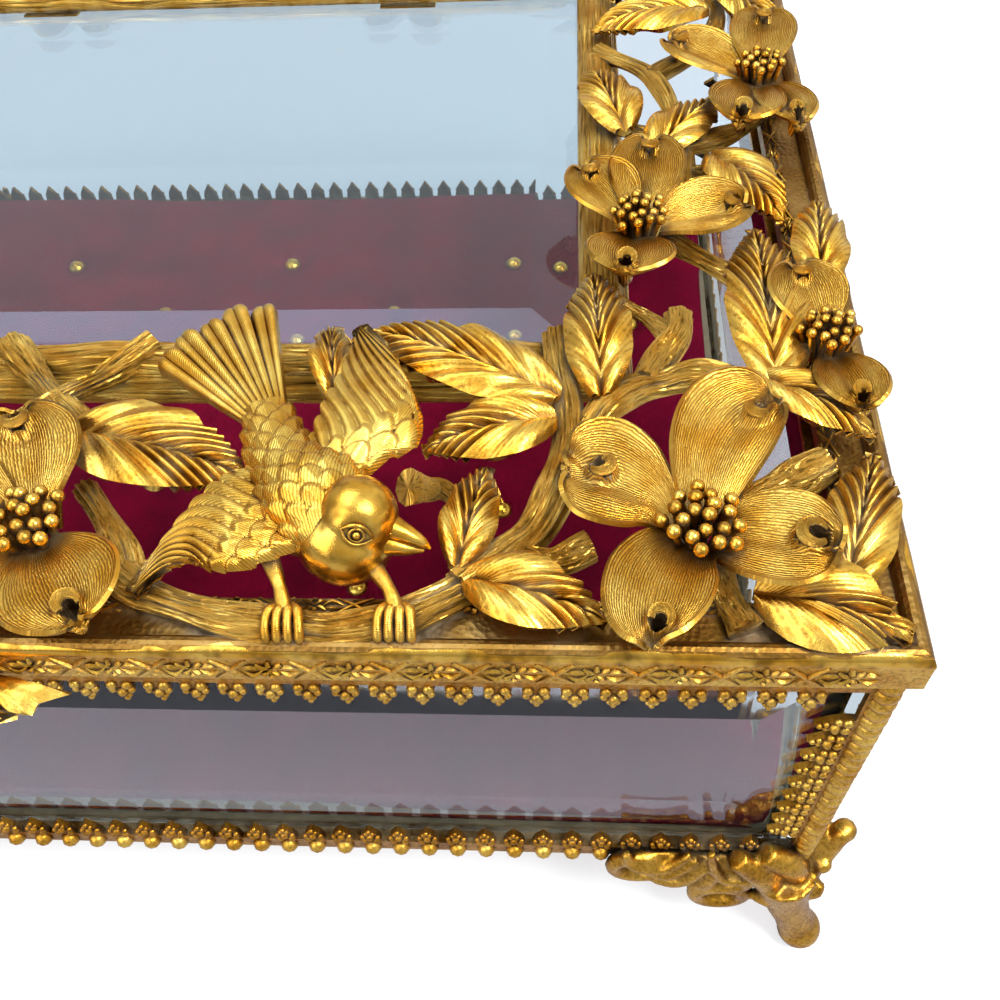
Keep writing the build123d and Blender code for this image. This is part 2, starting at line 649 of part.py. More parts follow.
def blade(base, tip, width, floor, shape_of, mid_rise, edge_rise, notch=0.0):
    """A leaf or petal in relief from base to tip: flat below, its middle and edges at their own heights."""
    (bx, by), (tx, ty) = base, tip
    length = hypot(tx - bx, ty - by)
    ux, uy = (tx - bx) / length, (ty - by) / length

    def at(along, across, z):
        return (bx + ux * along - uy * across, by + uy * along + ux * across, z)

    rows = []
    for share, half in shape_of:
        w = half * width / 2
        along = share * length
        back = notch if share == shape_of[-1][0] else 0.0
        edge_z, mid_z = floor + edge_rise(share), floor + mid_rise(share)
        rows.append([at(along, w, edge_z), at(along - back, 0, mid_z), at(along, -w, edge_z)])
    n = len(rows)
    points = [p for row in rows for p in row] + [(x, y, floor) for row in rows for x, y, _ in row]
    faces = []
    for i in range(n - 1):
        a, b, c, d = 3 * i, 3 * i + 1, 3 * i + 3, 3 * i + 4
        faces += [[a, b, d], [a, d, c], [b, b + 1, d + 1], [b, d + 1, d]]
        for k in (0, 2):
            faces.append([3 * i + k, 3 * (i + 1) + k, 3 * (n + i + 1) + k, 3 * (n + i) + k])
    for i in (0, n - 1):
        for k in (0, 1):
            faces.append([3 * i + k, 3 * i + k + 1, 3 * (n + i) + k + 1, 3 * (n + i) + k])
    left = [3 * (n + i) for i in range(n)]
    right = [3 * (n + i) + 2 for i in range(n)]
    faces.append(left + [left[-1] + 1] + right[::-1] + [left[0] + 1])
    return solid_of(points, faces)


def leaf(base, tip, width):
    """A pointed leaf, highest along its midrib."""
    outline = ((0, 0.14), (0.12, 0.5), (0.3, 0.88), (0.48, 1.0), (0.68, 0.8), (0.86, 0.42), (1, 0.05))

    def midrib(share):
        return LEAF_EDGE + (LEAF - LEAF_EDGE) * sin(pi * min(share + 0.15, 0.98))

    return blade(placed(base), placed(tip), width, LEAF_Z, outline, midrib, lambda share: LEAF_EDGE)


def petal(middle, radius, tip, width):
    """A broad notched petal that starts at the stamens and lifts towards its end."""
    (mx, my), (tx, ty) = placed(middle), placed(tip)
    length = hypot(tx - mx, ty - my)
    start = (radius - STAMEN_LAP) / length
    base = (mx + (tx - mx) * start, my + (ty - my) * start)
    outline = ((0, 0.34), (0.25, 0.72), (0.5, 0.96), (0.72, 1.0), (0.9, 0.8), (1, 0.42))

    def hollow(share):
        return PETAL + PETAL_LIFT * share * share * 0.5

    def rim(share):
        return PETAL + PETAL_LIFT * min(1.0, 0.3 + share)

    return blade(base, (tx, ty), width, PETAL_Z, outline, hollow, rim, notch=length * 0.08)


def both(shapes, both_halves=True):
    """The shapes and, if asked, their mirror images in the left half."""
    return list(shapes) + ([mirror(s, about=Plane.YZ) for s in shapes] if both_halves else [])


def fused(shapes):
    """All shapes joined, so that those that cross become one."""
    return shapes[0].fuse(*shapes[1:]) if len(shapes) > 1 else shapes[0]


def leaves(table, both_halves=True):
    """All leaves of one strip."""
    return fused(both([leaf(*entry) for entry in table.values()], both_halves))


def petals(table, both_halves=True):
    """All petals of one strip's blossoms."""
    made = []
    for middle, radius, tips in table.values():
        made += [petal(middle, radius, tip, width) for tip, width in tips]
    return fused(both(made, both_halves))


def stamens(table, both_halves=True):
    """The domed clusters in the middle of the blossoms."""
    made = []
    for middle, radius, _ in table.values():
        x, y = placed(middle)
        width = radius - STAMEN_LAP - STAMEN_PLAY
        top = PETAL_Z + STAMEN_RISE
        core = Pos(x, y, (LEAF_Z + top) / 2) * Cylinder(width, top - LEAF_Z)
        dome = Pos(x, y, top - width * STAMEN_DOME) * Sphere(width * STAMEN_DOME)
        made.append(core & dome)
    return both(made, both_halves)


def bird():
    """The perched bird: spindle body, round head, beak, spread wings, tail fan and legs."""
    (tx, ty), (hx, hy) = placed(BIRD_TAIL), placed(BIRD_HEAD)
    run = hypot(hx - tx, hy - ty)
    ux, uy = (hx - tx) / run, (hy - ty) / run
    length = run + 2 * BIRD_END
    floor = PETAL_Z + 0.3
    belly = LEAF_Z + LAYER_PLAY
    half = BIRD_BODY_WIDTH / 2
    axis_z = belly + 1.8
    profile = make_face(ThreePointArc((0, 0), (length / 2, half), (length, 0)) + Line((length, 0), (0, 0)))
    start = (tx - ux * BIRD_END, ty - uy * BIRD_END, axis_z)
    along = Plane(origin=start, x_dir=(ux, uy, 0), z_dir=(0, 0, 1))
    body = along * scale(revolve(profile, Axis.X), by=(1, 1, BIRD_FLATTEN))
    slab = box(-LID_X, LID_X, -LID_Y, LID_Y, belly, belly + BIRD_BODY_WIDTH)
    outlines = [list(map(placed, outline)) for outline in (TAIL_FAN, RIGHT_WING, LEFT_WING)]
    fan = [plate(outline, floor, floor + BIRD_RISE) for outline in outlines]
    head_z = belly + 3.2
    head = Pos(hx, hy, head_z) * Sphere(BIRD_HEAD_RADIUS)
    beak_x, beak_y = placed(BEAK_TIP)
    beak_run = Vector(beak_x - hx, beak_y - hy, -1.2)
    beak_frame = Plane(origin=(hx, hy, head_z + 0.2), z_dir=beak_run)
    beak = Solid.make_cone(2.2, 0.3, beak_run.length, beak_frame)
    shape = (body & slab) + fan[0] + fan[1] + fan[2] + (head & slab) + beak
    for (x0, y0), (x1, y1) in [map(placed, leg) for leg in LEGS]:
        run = Vector(x1 - x0, y1 - y0, LEAF_Z + 0.9 - axis_z)
        leg_frame = Plane(origin=(x0, y0, axis_z), z_dir=run)
        shape = shape + Solid.make_cone(0.9, 0.7, run.length, leg_frame)
        shape = shape + box(x1 - 1.8, x1 + 1.8, y1 - 1.0, y1 + 1.0, LEAF_Z + LAYER_PLAY, LEAF_Z + 1.3)
    return shape


def thumb_tab():
    """The leaf-shaped tab that lifts the lid."""
    half = TAB_WIDTH / 2
    y = -LID_Y - TOUCH
    shoulder = (half * 0.55, y - TAB_REACH * 0.72)
    outline = [(-half, y), (-shoulder[0], shoulder[1]), (0, y - TAB_REACH), shoulder, (half, y)]
    low = LID_BOTTOM_Z + TAB_RISE
    return plate(outline, low, low + TAB_THICK)


def rod(radius, x0, x1):
    """A round bar on the hinge line."""
    return Pos((x0 + x1) / 2, HINGE_Y, HINGE_Z) * Rot(0, 90, 0) * Cylinder(radius, x1 - x0)


def casket_hinge(x):
    """A hinge's fixed half: a leaf on the back wall and its two outer knuckles."""
    third, end = HINGE_LENGTH / 6 + KNUCKLE_PLAY, HINGE_LENGTH / 2
    near, top = BODY_Y + TOUCH, BODY_TOP_Z - KNUCKLE_PLAY
    shape = box(x - end, x + end, near, near + HINGE_PLATE, BODY_TOP_Z - HINGE_LEAF_HEIGHT, top)
    for start, stop in ((x - end, x - third), (x + third, x + end)):
        web = box(start, stop, near + HINGE_PLATE / 2, HINGE_Y, HINGE_Z - KNUCKLE_RADIUS, top)
        bore = rod(PIN_RADIUS + PIN_PLAY, start - 1, stop + 1)
        shape = shape + web + rod(KNUCKLE_RADIUS, start, stop) - bore
    return shape


def lid_hinge(x):
    """A hinge's moving half: a leaf on the lid's back edge and the middle knuckle."""
    third, end = HINGE_LENGTH / 6 - KNUCKLE_PLAY, HINGE_LENGTH / 2
    start, stop = x - third, x + third
    near = LID_Y + TOUCH
    low = HINGE_Z + KNUCKLE_RADIUS + HINGE_SWING_GAP
    high = LID_BOTTOM_Z + BAND_HEIGHT
    leaf_plate = box(x - end, x + end, near, near + HINGE_PLATE, low, high)
    web = box(start, stop, near, near + HINGE_PLATE, HINGE_Z, low + HINGE_PLATE)
    bore = rod(PIN_RADIUS + PIN_PLAY, start - 1, stop + 1)
    return leaf_plate + web + rod(KNUCKLE_RADIUS, start, stop) - bore


def main():
    """Write every piece."""
    os.makedirs("parts", exist_ok=True)
    plate_z = BASE_Z + SHEET
    plate_x, plate_y = INSIDE_X - GLASS_PLAY, INSIDE_Y - GLASS_PLAY
    save("base_plate", box(-plate_x, plate_x, -plate_y, plate_y, plate_z, plate_z + PLATE))
    board_x, board_y = INSIDE_X - CUSHION_PLAY, INSIDE_Y - CUSHION_PLAY
    save("cushion_board", box(-board_x, board_x, -board_y, board_y, plate_z + PLATE, CUSHION_Z))
    save("cushion", cushion())
    save("cushion_studs", *studs())
    for side in SIDES:
        save(f"gallery_bottom_{side}", gallery(side, False))
        save(f"gallery_top_{side}", gallery(side, True))
        save(f"glass_{side}", wall_glass(side))
        save(f"lid_rail_{side}", lid_rail(side))
        save(f"lid_band_{side}", lid_band(side))
        save(f"glass_frame_{side}", inner_rail(side))
    for corner, (sx, sy) in CORNERS.items():
        save(f"corner_post_{corner}", post(sx, sy))
        save(f"foot_{corner}", foot(sx, sy))
    save("lid_glass", lid_glass())
    save("glass_clips", *glass_clips())
    save("branches_front", branches(FRONT_BRANCHES))
    save("branches_back", branches(BACK_BRANCHES))
    save("branches_sides", branches(SIDE_BRANCHES))
    save("leaves_front", leaves(FRONT_LEAVES))
    save("leaves_back", leaves(BACK_LEAVES))
    save("leaves_sides", leaves(SIDE_LEAVES))
    save("blossoms_front", petals(FRONT_BLOSSOMS), petals(MIDDLE_BLOSSOM, False))
    save("blossoms_back", petals(BACK_BLOSSOMS))
    save("blossoms_sides", petals(SIDE_BLOSSOMS))
    clusters = stamens(FRONT_BLOSSOMS) + stamens(SIDE_BLOSSOMS) + stamens(BACK_BLOSSOMS)
    save("stamens", *clusters, *stamens(MIDDLE_BLOSSOM, False))
    save("bird_right", bird())
    save("bird_left", mirror(bird(), about=Plane.YZ))
    save("thumb_tab", thumb_tab())
    for name, x in (("right", HINGE_X), ("left", -HINGE_X)):
        save(f"hinge_casket_{name}", casket_hinge(x))
        save(f"hinge_lid_{name}", lid_hinge(x))
    pins = [rod(PIN_RADIUS, x - HINGE_LENGTH / 2, x + HINGE_LENGTH / 2) for x in (-HINGE_X, HINGE_X)]
    save("hinge_pins", *pins)


if __name__ == "__main__":
    main()
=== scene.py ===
"""A jewelry casket in gilt cast brass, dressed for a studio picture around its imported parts.

Sizes here are millimetres in the part's own frame: X along the long front, Y from front to back, Z up,
with the feet on Z 0. Blender's objects are in metres, so every place is multiplied by MM once.
"""

from __future__ import annotations

import json
import logging
from dataclasses import dataclass
from enum import Enum
from math import atan2, ceil, cos, exp, floor, hypot, pi, radians, sin, sqrt
from random import Random
from typing import Any, Callable, Sequence

import bpy
from mathutils import Matrix, Vector

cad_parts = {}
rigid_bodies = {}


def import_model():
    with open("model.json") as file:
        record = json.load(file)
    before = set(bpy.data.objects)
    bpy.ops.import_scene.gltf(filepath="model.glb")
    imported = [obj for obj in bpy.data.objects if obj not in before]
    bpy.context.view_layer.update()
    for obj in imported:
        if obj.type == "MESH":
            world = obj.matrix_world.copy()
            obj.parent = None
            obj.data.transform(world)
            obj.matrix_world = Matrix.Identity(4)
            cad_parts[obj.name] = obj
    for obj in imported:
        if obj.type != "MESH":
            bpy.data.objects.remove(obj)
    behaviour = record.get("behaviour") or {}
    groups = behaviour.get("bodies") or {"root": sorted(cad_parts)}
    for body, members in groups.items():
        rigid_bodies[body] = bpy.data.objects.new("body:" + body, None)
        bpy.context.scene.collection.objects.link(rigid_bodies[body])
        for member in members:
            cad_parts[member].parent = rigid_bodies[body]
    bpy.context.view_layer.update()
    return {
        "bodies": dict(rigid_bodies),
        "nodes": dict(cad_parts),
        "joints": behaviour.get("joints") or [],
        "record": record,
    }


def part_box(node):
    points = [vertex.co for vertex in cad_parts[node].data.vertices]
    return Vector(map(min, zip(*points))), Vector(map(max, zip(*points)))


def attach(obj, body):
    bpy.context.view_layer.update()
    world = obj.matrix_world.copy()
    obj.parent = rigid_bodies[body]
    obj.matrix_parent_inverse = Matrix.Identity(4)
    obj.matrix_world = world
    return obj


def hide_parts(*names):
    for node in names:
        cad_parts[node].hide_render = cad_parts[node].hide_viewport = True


log = logging.getLogger("casket")

Point = tuple[float, float]
Place = tuple[float, float, float]
Piece = bpy.types.Object
Socket = bpy.types.NodeSocket

MM = 0.001
MERGE_M = 1e-6
GOLDEN_ANGLE = 2.39996
SIDES = {"front": 0, "right": 90, "back": 180, "left": 270}
CORNERS = {"front_right": (1, -1), "front_left": (-1, -1), "back_right": (1, 1), "back_left": (-1, 1)}
MIRRORED = Matrix.Diagonal((-1, 1, 1, 1))


class Body(Enum):
    """The two bodies that the hinge joins."""

    CASKET = "casket"
    LID = "lid"


class Strip(Enum):
    """The strips of openwork round the lid's glass."""

    FRONT = "front"
    SIDES = "sides"
    BACK = "back"


class Grain(Enum):
    """How a brass surface was worked before gilding."""

    CAST = "cast"
    STRIATED = "striated"
    RIBBED = "ribbed"
    BARK = "bark"
    STIPPLED = "stippled"
    ENGRAVED = "engraved"
    BURNISHED = "burnished"


# Materials

# Distance from line to line of a wave node at scale 1
WAVE_LINE = 0.314
# Lines that a tool leaves: distortion, detail, detail scale, direction, and how much lines and casting
# add to the height
LINES = {
    Grain.STRIATED: (3.4, 3.0, 2.6, "Y", 0.55, 0.5),
    Grain.RIBBED: (1.8, 2.0, 1.0, "X", 0.3, 0.8),
    Grain.ENGRAVED: (1.6, 1.0, 1.0, "DIAGONAL", 1.0, 0.0),
}
# Castings drawn out along the piece's own map: the map's scale, detail and roughness
STRETCHED = {Grain.STRIATED: ((3.0, 60.0, 1.0), 3.0, 0.6), Grain.BARK: ((9.0, 34.0, 1.0), 5.0, 0.65)}
TIMES, PLUS, MINUS, MOST = ({"operation": kind} for kind in ("MULTIPLY", "ADD", "SUBTRACT", "MAXIMUM"))
COLOURS = {"data_type": "RGBA"}
MIXED = 2
WHITE = (1.0, 1.0, 1.0, 1.0)


def linear(hex_colour: str) -> tuple[float, float, float, float]:
    """Turn an sRGB hex colour to linear light.

    Args:
        hex_colour: a colour such as "#C98F1B".

    Returns:
        Red, green, blue and an alpha of 1.
    """
    parts = [int(hex_colour[i : i + 2], 16) / 255 for i in (1, 3, 5)]
    light = [c / 12.92 if c <= 0.04045 else ((c + 0.055) / 1.055) ** 2.4 for c in parts]
    return light[0], light[1], light[2], 1.0


class Nodes:
    """The nodes of a material or of the world, added one by one."""

    def __init__(self, owner: bpy.types.Material | bpy.types.World) -> None:
        """Empty the owner's node tree.

        Args:
            owner: the material or the world.
        """
        owner.use_nodes = True
        self.owner, self.tree = owner, owner.node_tree
        self.tree.nodes.clear()

    def add(
        self, kind: str, inputs: dict | Sequence = (), out: int | str = 0, **settings: Any
    ) -> Socket | None:
        """Add a node with its settings and links.

        Args:
            kind: the node's type, without its ShaderNode.
            inputs: values or the output sockets that feed it, by socket name or number, or in order.
            out: the output that is wanted.
            **settings: the node's own properties.

        Returns:
            The wanted output, or None at the end of a tree.
        """
        node = self.tree.nodes.new("ShaderNode" + kind)
        for key, value in settings.items():
            setattr(node, key, value)
        for socket, value in inputs.items() if isinstance(inputs, dict) else enumerate(inputs):
            if isinstance(value, bpy.types.NodeSocket):
                self.tree.links.new(value, node.inputs[socket])
            else:
                node.inputs[socket].default_value = value
        return node.outputs[out] if len(node.outputs) else None


@dataclass(frozen=True)
class GiltBrass:
    """Lost-wax cast brass, gilt, washed brown and rubbed, with painted shade: bright high places, dark
    hollows.

    Grey polishing residue sits in the deepest corners and is dull, because it isn't metal. The grain's size
    is in millimetres, or a share of the piece's own map where a tool drew lines along it.
    """

    name: str
    grain: Grain
    grain_size: float
    depth_mm: float
    roughness: float = 0.27
    gold: str = "#DDA032"
    pale: str = "#F5CA5E"
    wash_and_shade: str = "#432808"
    dust_share: float = 0.5
    recess_mm: float = 2.4
    dust: str = "#9C8A6C"
    patch_mm: float = 5.0
    casting_mm: float = 0.5
    skin_mm: float = 0.22
    skin_depth_mm: float = 0.018
    hollow_roughness: float = 0.25

    def height(self, nodes: Nodes) -> Socket:
        """Build the worked surface's height, from 0 in a groove to 1 on a ridge.

        Args:
            nodes: the material's nodes.

        Returns:
            The height.
        """
        add, grain = nodes.add, self.grain
        if grain is Grain.STIPPLED:
            cells = {"Vector": add("TexCoord", out="Object"), "Scale": 1 / (self.grain_size * MM)}
            pits = add("TexVoronoi", {**cells, "Randomness": 1.0}, "Distance")
            return add("MapRange", [pits, 0.0, 0.7, 0.36, 0.8])
        if grain is Grain.BARK:
            return add("MapRange", [self.casting(nodes), 0.32, 0.58])
        if grain not in LINES:
            return self.casting(nodes)
        distortion, detail, detail_scale, bands, line_share, casting_share = LINES[grain]
        waves = {"Vector": add("TexCoord", out="UV"), "Scale": WAVE_LINE / self.grain_size}
        waves |= {"Distortion": distortion, "Detail": detail, "Detail Scale": detail_scale}
        lines = add("TexWave", waves, "Fac", bands_direction=bands)
        if grain is Grain.ENGRAVED:
            # Fine hatching by a graver, faint beside the modelled feathers
            return add("MapRange", [lines, 0.0, 0.7, 0.3, 0.75])
        # Chased lines beside the modelled ribs, uneven as by hand and lost where the casting is soft
        drawn = add("Math", [lines, line_share], **TIMES)
        return add("Math", [drawn, add("Math", [self.casting(nodes), casting_share], **TIMES)], **PLUS)

    def casting(self, nodes: Nodes) -> Socket:
        """Build the casting's unevenness, which under lines is finer or drawn out along them.

        Args:
            nodes: the material's nodes.

        Returns:
            The unevenness, about 0.5.
        """
        if self.grain in STRETCHED:
            stretch, detail, rough = STRETCHED[self.grain]
            along = nodes.add("Mapping", {"Vector": nodes.add("TexCoord", out="UV"), "Scale": stretch})
            noise = {"Vector": along, "Scale": 1.0, "Detail": detail, "Roughness": rough}
            return nodes.add("TexNoise", noise)
        size = self.casting_mm if self.grain is Grain.RIBBED else self.grain_size
        noise = {"Vector": nodes.add("TexCoord", out="Object"), "Scale": 1 / (size * MM), "Roughness": 0.6}
        detail = 1.0 if self.grain is Grain.BURNISHED else 4.0
        return nodes.add("TexNoise", {**noise, "Detail": detail})

    def make(self) -> bpy.types.Material:
        """Build the material.

        Returns:
            The material.
        """
        nodes = Nodes(bpy.data.materials.new(self.name))
        add = nodes.add
        height, place = self.height(nodes), add("TexCoord", out="Object")
        cloud = {"Vector": place, "Scale": 1 / (self.patch_mm * MM), "Detail": 3.0, "Roughness": 0.6}
        patches = add("TexNoise", cloud)
        # Painted shade, besides the brass's brown washing: ambient occlusion and the grain's low places
        # darken the colour towards the dark brown
        hollow = add("AmbientOcclusion", {"Distance": self.recess_mm * MM}, "AO", samples=6)
        opened = add("MapRange", [hollow, 0.3, 0.92])
        lit = add("Math", [opened, add("MapRange", [height, 0.22, 0.62, 0.25, 1.0])], **TIMES)
        lit = add("Math", [lit, add("MapRange", [patches, 0.25, 0.75, 0.8, 1.15])], **TIMES)
        shade = add("MapRange", [lit, 0.05, 0.85])
        share = add("MapRange", [patches, 0.38, 0.68])
        tone = add("Mix", {0: share, 6: linear(self.gold), 7: linear(self.pale)}, MIXED, **COLOURS)
        colour = add("Mix", {0: shade, 6: linear(self.wash_and_shade), 7: tone}, MIXED, **COLOURS)
        dusty = [add("MapRange", [opened, 0.6, 0.2]), add("MapRange", [patches, 0.4, 0.6])]
        residue = add("Math", [add("Math", dusty, **TIMES), self.dust_share], **TIMES)
        colour = add("Mix", {0: residue, 6: colour, 7: linear(self.dust)}, MIXED, **COLOURS)
        # The cast skin's fine grain breaks up the reflections without being seen as a pattern
        skin = add("TexNoise", {"Vector": place, "Scale": 1 / (self.skin_mm * MM), "Detail": 2.0})
        ground = add("Bump", {"Height": skin, "Distance": self.skin_depth_mm * MM, "Strength": 1.0})
        bump = {"Height": height, "Distance": self.depth_mm * MM, "Strength": 1.0, "Normal": ground}
        dull = self.roughness + self.hollow_roughness
        surface = {
            "Base Color": colour,
            "Metallic": add("MapRange", [residue, 0.0, 1.0, 1.0, 0.0]),
            "Roughness": add("MapRange", [shade, 0.0, 1.0, dull, self.roughness]),
            "Normal": add("Bump", bump),
        }
        add("OutputMaterial", [add("BsdfPrincipled", surface)])
        return nodes.owner


@dataclass(frozen=True)
class BevelledGlass:
    """Polished plate glass, faintly green-blue through its thickness, with hairline scratches.

    Light from the lamps passes straight through it, so that what lies behind is lit as by a real pane.
    """

    name: str
    tint: str = "#DCEAEF"
    scratch_mm: float = 1.4
    scratch_depth_mm: float = 0.0015

    def make(self) -> bpy.types.Material:
        """Build the material.

        Returns:
            The material.
        """
        nodes = Nodes(bpy.data.materials.new(self.name))
        add, tint = nodes.add, linear(self.tint)
        drawn = {"Rotation": (0.2, 0.1, 0.5), "Scale": (1.0, 0.06, 1.0)}
        lines = add("Mapping", {"Vector": add("TexCoord", out="Object"), **drawn})
        noise = {"Vector": lines, "Scale": 1 / (self.scratch_mm * MM), "Detail": 2.0}
        bump = {"Height": add("TexNoise", noise), "Distance": self.scratch_depth_mm * MM, "Strength": 0.25}
        surface = {"Base Color": tint, "Roughness": 0.015, "IOR": 1.5, "Transmission Weight": 1.0}
        shader = add("BsdfPrincipled", {**surface, "Normal": add("Bump", bump)})
        clear = add("BsdfTransparent", {"Color": tint})
        shadow = add("LightPath", out="Is Shadow Ray")
        add("OutputMaterial", [add("MixShader", [shadow, shader, clear])])
        return nodes.owner


@dataclass(frozen=True)
class SilkVelvet:
    """Short-pile velvet in deep crimson: the pile goes dark face on and glows where it lies over."""

    name: str
    pile: str = "#6E0420"
    deep: str = "#3A0212"
    glow: str = "#B02050"
    pile_mm: float = 0.5
    nap_mm: float = 9.0
    depth_mm: float = 0.15

    def make(self) -> bpy.types.Material:
        """Build the material.

        Returns:
            The material.
        """
        nodes = Nodes(bpy.data.materials.new(self.name))
        add, place = nodes.add, nodes.add("TexCoord", out="Object")
        fibres, nap = (
            add("TexNoise", {"Vector": place, "Scale": 1 / (size * MM), "Detail": 3.0})
            for size in (self.pile_mm, self.nap_mm)
        )
        shares = [add("MapRange", [nap, 0.3, 0.7, 0.35, 1.0]), add("MapRange", [fibres, 0.2, 0.7, 0.6, 1.0])]
        shade = {0: add("Math", shares, **TIMES), 6: linear(self.deep), 7: linear(self.pile)}
        surface = {
            "Base Color": add("Mix", shade, MIXED, **COLOURS),
            "Roughness": 0.9,
            "Normal": add("Bump", {"Height": fibres, "Distance": self.depth_mm * MM, "Strength": 0.8}),
            "Sheen Weight": 0.06,
            "Sheen Roughness": 0.35,
            "Sheen Tint": linear(self.glow),
            "Specular IOR Level": 0.04,
        }
        add("OutputMaterial", [add("BsdfPrincipled", surface)])
        return nodes.owner


@dataclass(frozen=True)
class PressedBoard:
    """Grey-brown pressed board under the pad, with its fibres showing."""

    name: str
    light: str = "#8A745A"
    dark: str = "#5E4C38"
    fibre_mm: float = 1.5
    depth_mm: float = 0.1

    def make(self) -> bpy.types.Material:
        """Build the material.

        Returns:
            The material.
        """
        nodes = Nodes(bpy.data.materials.new(self.name))
        add, place = nodes.add, nodes.add("TexCoord", out="Object")
        fibre = add("TexNoise", {"Vector": place, "Scale": 1 / (self.fibre_mm * MM), "Detail": 5.0})
        shade = {0: fibre, 6: linear(self.dark), 7: linear(self.light)}
        surface = {
            "Base Color": add("Mix", shade, MIXED, **COLOURS),
            "Roughness": 0.85,
            "Normal": add("Bump", {"Height": fibre, "Distance": self.depth_mm * MM, "Strength": 0.7}),
        }
        add("OutputMaterial", [add("BsdfPrincipled", surface)])
        return nodes.owner


class Finish(Enum):
    """The casket's finishes and how each is made."""

    PETAL = GiltBrass("gilt brass, chased petal", Grain.STRIATED, 0.026, 0.09, 0.28, "#CE922C", "#E6B954")
    LEAF = GiltBrass("gilt brass, cast leaf", Grain.RIBBED, 0.022, 0.05, wash_and_shade="#5E3A0C")
    BARK = GiltBrass("gilt brass, bark", Grain.BARK, 0.5, 0.34, 0.32, "#D09A38", "#F0C662", dust_share=0.8)
    STIPPLE = GiltBrass(
        "gilt brass, stippled", Grain.STIPPLED, 0.6, 0.1, 0.38, "#8C6428", "#A47E42", dust_share=0.85
    )
    FOOT = GiltBrass(
        "gilt brass, cast foot", Grain.CAST, 0.5, 0.07, 0.25, "#C48C2A", "#E2B04C", "#2A1804", recess_mm=3.6
    )
    FEATHER = GiltBrass("gilt brass, engraved feather", Grain.ENGRAVED, 0.011, 0.03, 0.26, recess_mm=1.1)
    BURNISHED = GiltBrass("gilt brass, burnished", Grain.BURNISHED, 1.6, 0.02, 0.21, recess_mm=1.2)
    STAMPED = GiltBrass("gilt brass, stamped strip", Grain.CAST, 0.35, 0.05, 0.3, recess_mm=1.0)
    # A darker copy of the gilt brass, which is painted shade on the bottom hearts and the imported strips and
    # posts
    DARK = GiltBrass("gilt brass, painted shade", Grain.CAST, 0.45, 0.07, 0.3, "#BC8022", "#DDA038", "#241204")
    GLASS = BevelledGlass("plate glass, bevelled")
    VELVET = SilkVelvet("velvet, crimson silk")
    BOARD = PressedBoard("board, pressed")


Finishes = dict[Finish, bpy.types.Material]


# Modelling tools


def select_only(*pieces: Piece) -> None:
    """Select these pieces and no others, because every operator acts on all that is selected.

    Args:
        *pieces: the pieces, of which the first becomes the active one.
    """
    bpy.ops.object.select_all(action="DESELECT")
    for piece in pieces:
        piece.select_set(True)
        bpy.context.view_layer.objects.active = pieces[0]


def primitive(operator: Callable, **settings: Any) -> Piece:
    """Add a primitive alone and put its place into its mesh, so that its object lies at the origin.

    Args:
        operator: what adds it.
        **settings: its size and place in metres.

    Returns:
        The piece.
    """
    select_only()
    operator(**settings)
    bpy.ops.object.transform_apply(location=True, rotation=True, scale=True)
    return bpy.context.object


def modify(piece: Piece, kind: str, **settings: Any) -> None:
    """Put a modifier on a piece and apply it.

    Args:
        piece: the piece to change.
        kind: the modifier's type.
        **settings: the modifier's properties.
    """
    bpy.context.view_layer.objects.active = piece
    bpy.ops.object.modifier_add(type=kind)
    modifier = piece.modifiers[-1]
    for key, value in settings.items():
        setattr(modifier, key, value)
    bpy.ops.object.modifier_apply(modifier=modifier.name)


def edit(piece: Piece, *steps: tuple[Callable, dict[str, Any]]) -> Piece:
    """Work on all of a piece's mesh in edit mode.

    Args:
        piece: the piece.
        *steps: each operator with its settings.

    Returns:
        The same piece.
    """
    select_only(piece)
    bpy.ops.object.mode_set(mode="EDIT")
    bpy.ops.mesh.select_all(action="SELECT")
    for operator, settings in steps:
        operator(**settings)
    bpy.ops.object.mode_set(mode="OBJECT")
    return piece


def sliced(piece: Piece, place: Place, outward: Place) -> Piece:
    """Cut off what lies beyond a plane and close the cut.

    Args:
        piece: the piece.
        place: a place on the plane in millimetres.
        outward: the plane's direction, towards what goes.

    Returns:
        The same piece.
    """
    plane = {"plane_co": Vector(place) * MM, "plane_no": outward}
    return edit(piece, (bpy.ops.mesh.bisect, {**plane, "clear_outer": True, "use_fill": True}))


def smoothed(piece: Piece, angle: float = 60.0) -> Piece:
    """Shade a piece smooth but for its sharp edges.

    Args:
        piece: the piece.
        angle: edges sharper than this many degrees stay sharp.

    Returns:
        The same piece.
    """
    select_only(piece)
    bpy.ops.object.shade_smooth_by_angle(angle=radians(angle))
    return piece


def joined(name: str, pieces: Sequence[Piece]) -> Piece:
    """Join pieces to one mesh.

    Args:
        name: the joined piece's name.
        pieces: at least one piece.

    Returns:
        The joined piece.
    """
    select_only(*pieces)
    if len(pieces) > 1:
        bpy.ops.object.join()
    pieces[0].name = pieces[0].data.name = name
    return pieces[0]


def copied(piece: Piece, matrix: Matrix, name: str = "copy") -> Piece:
    """Copy a piece with its own mesh, carried by a matrix.

    Args:
        piece: the piece to copy.
        matrix: where its mesh goes, in metres.
        name: the copy's name.

    Returns:
        The copy.
    """
    twin = piece.copy()
    twin.data = piece.data.copy()
    twin.name = name
    bpy.context.scene.collection.objects.link(twin)
    twin.data.transform(matrix)
    if matrix.is_negative:
        twin.data.flip_normals()
    return twin


def in_mm(corner: Vector) -> Vector:
    """Turn a corner from metres to millimetres."""
    return corner / MM


def shift(x: float, y: float, z: float) -> Matrix:
    """Make the matrix that moves by these millimetres."""
    return Matrix.Translation(Vector((x, y, z)) * MM)


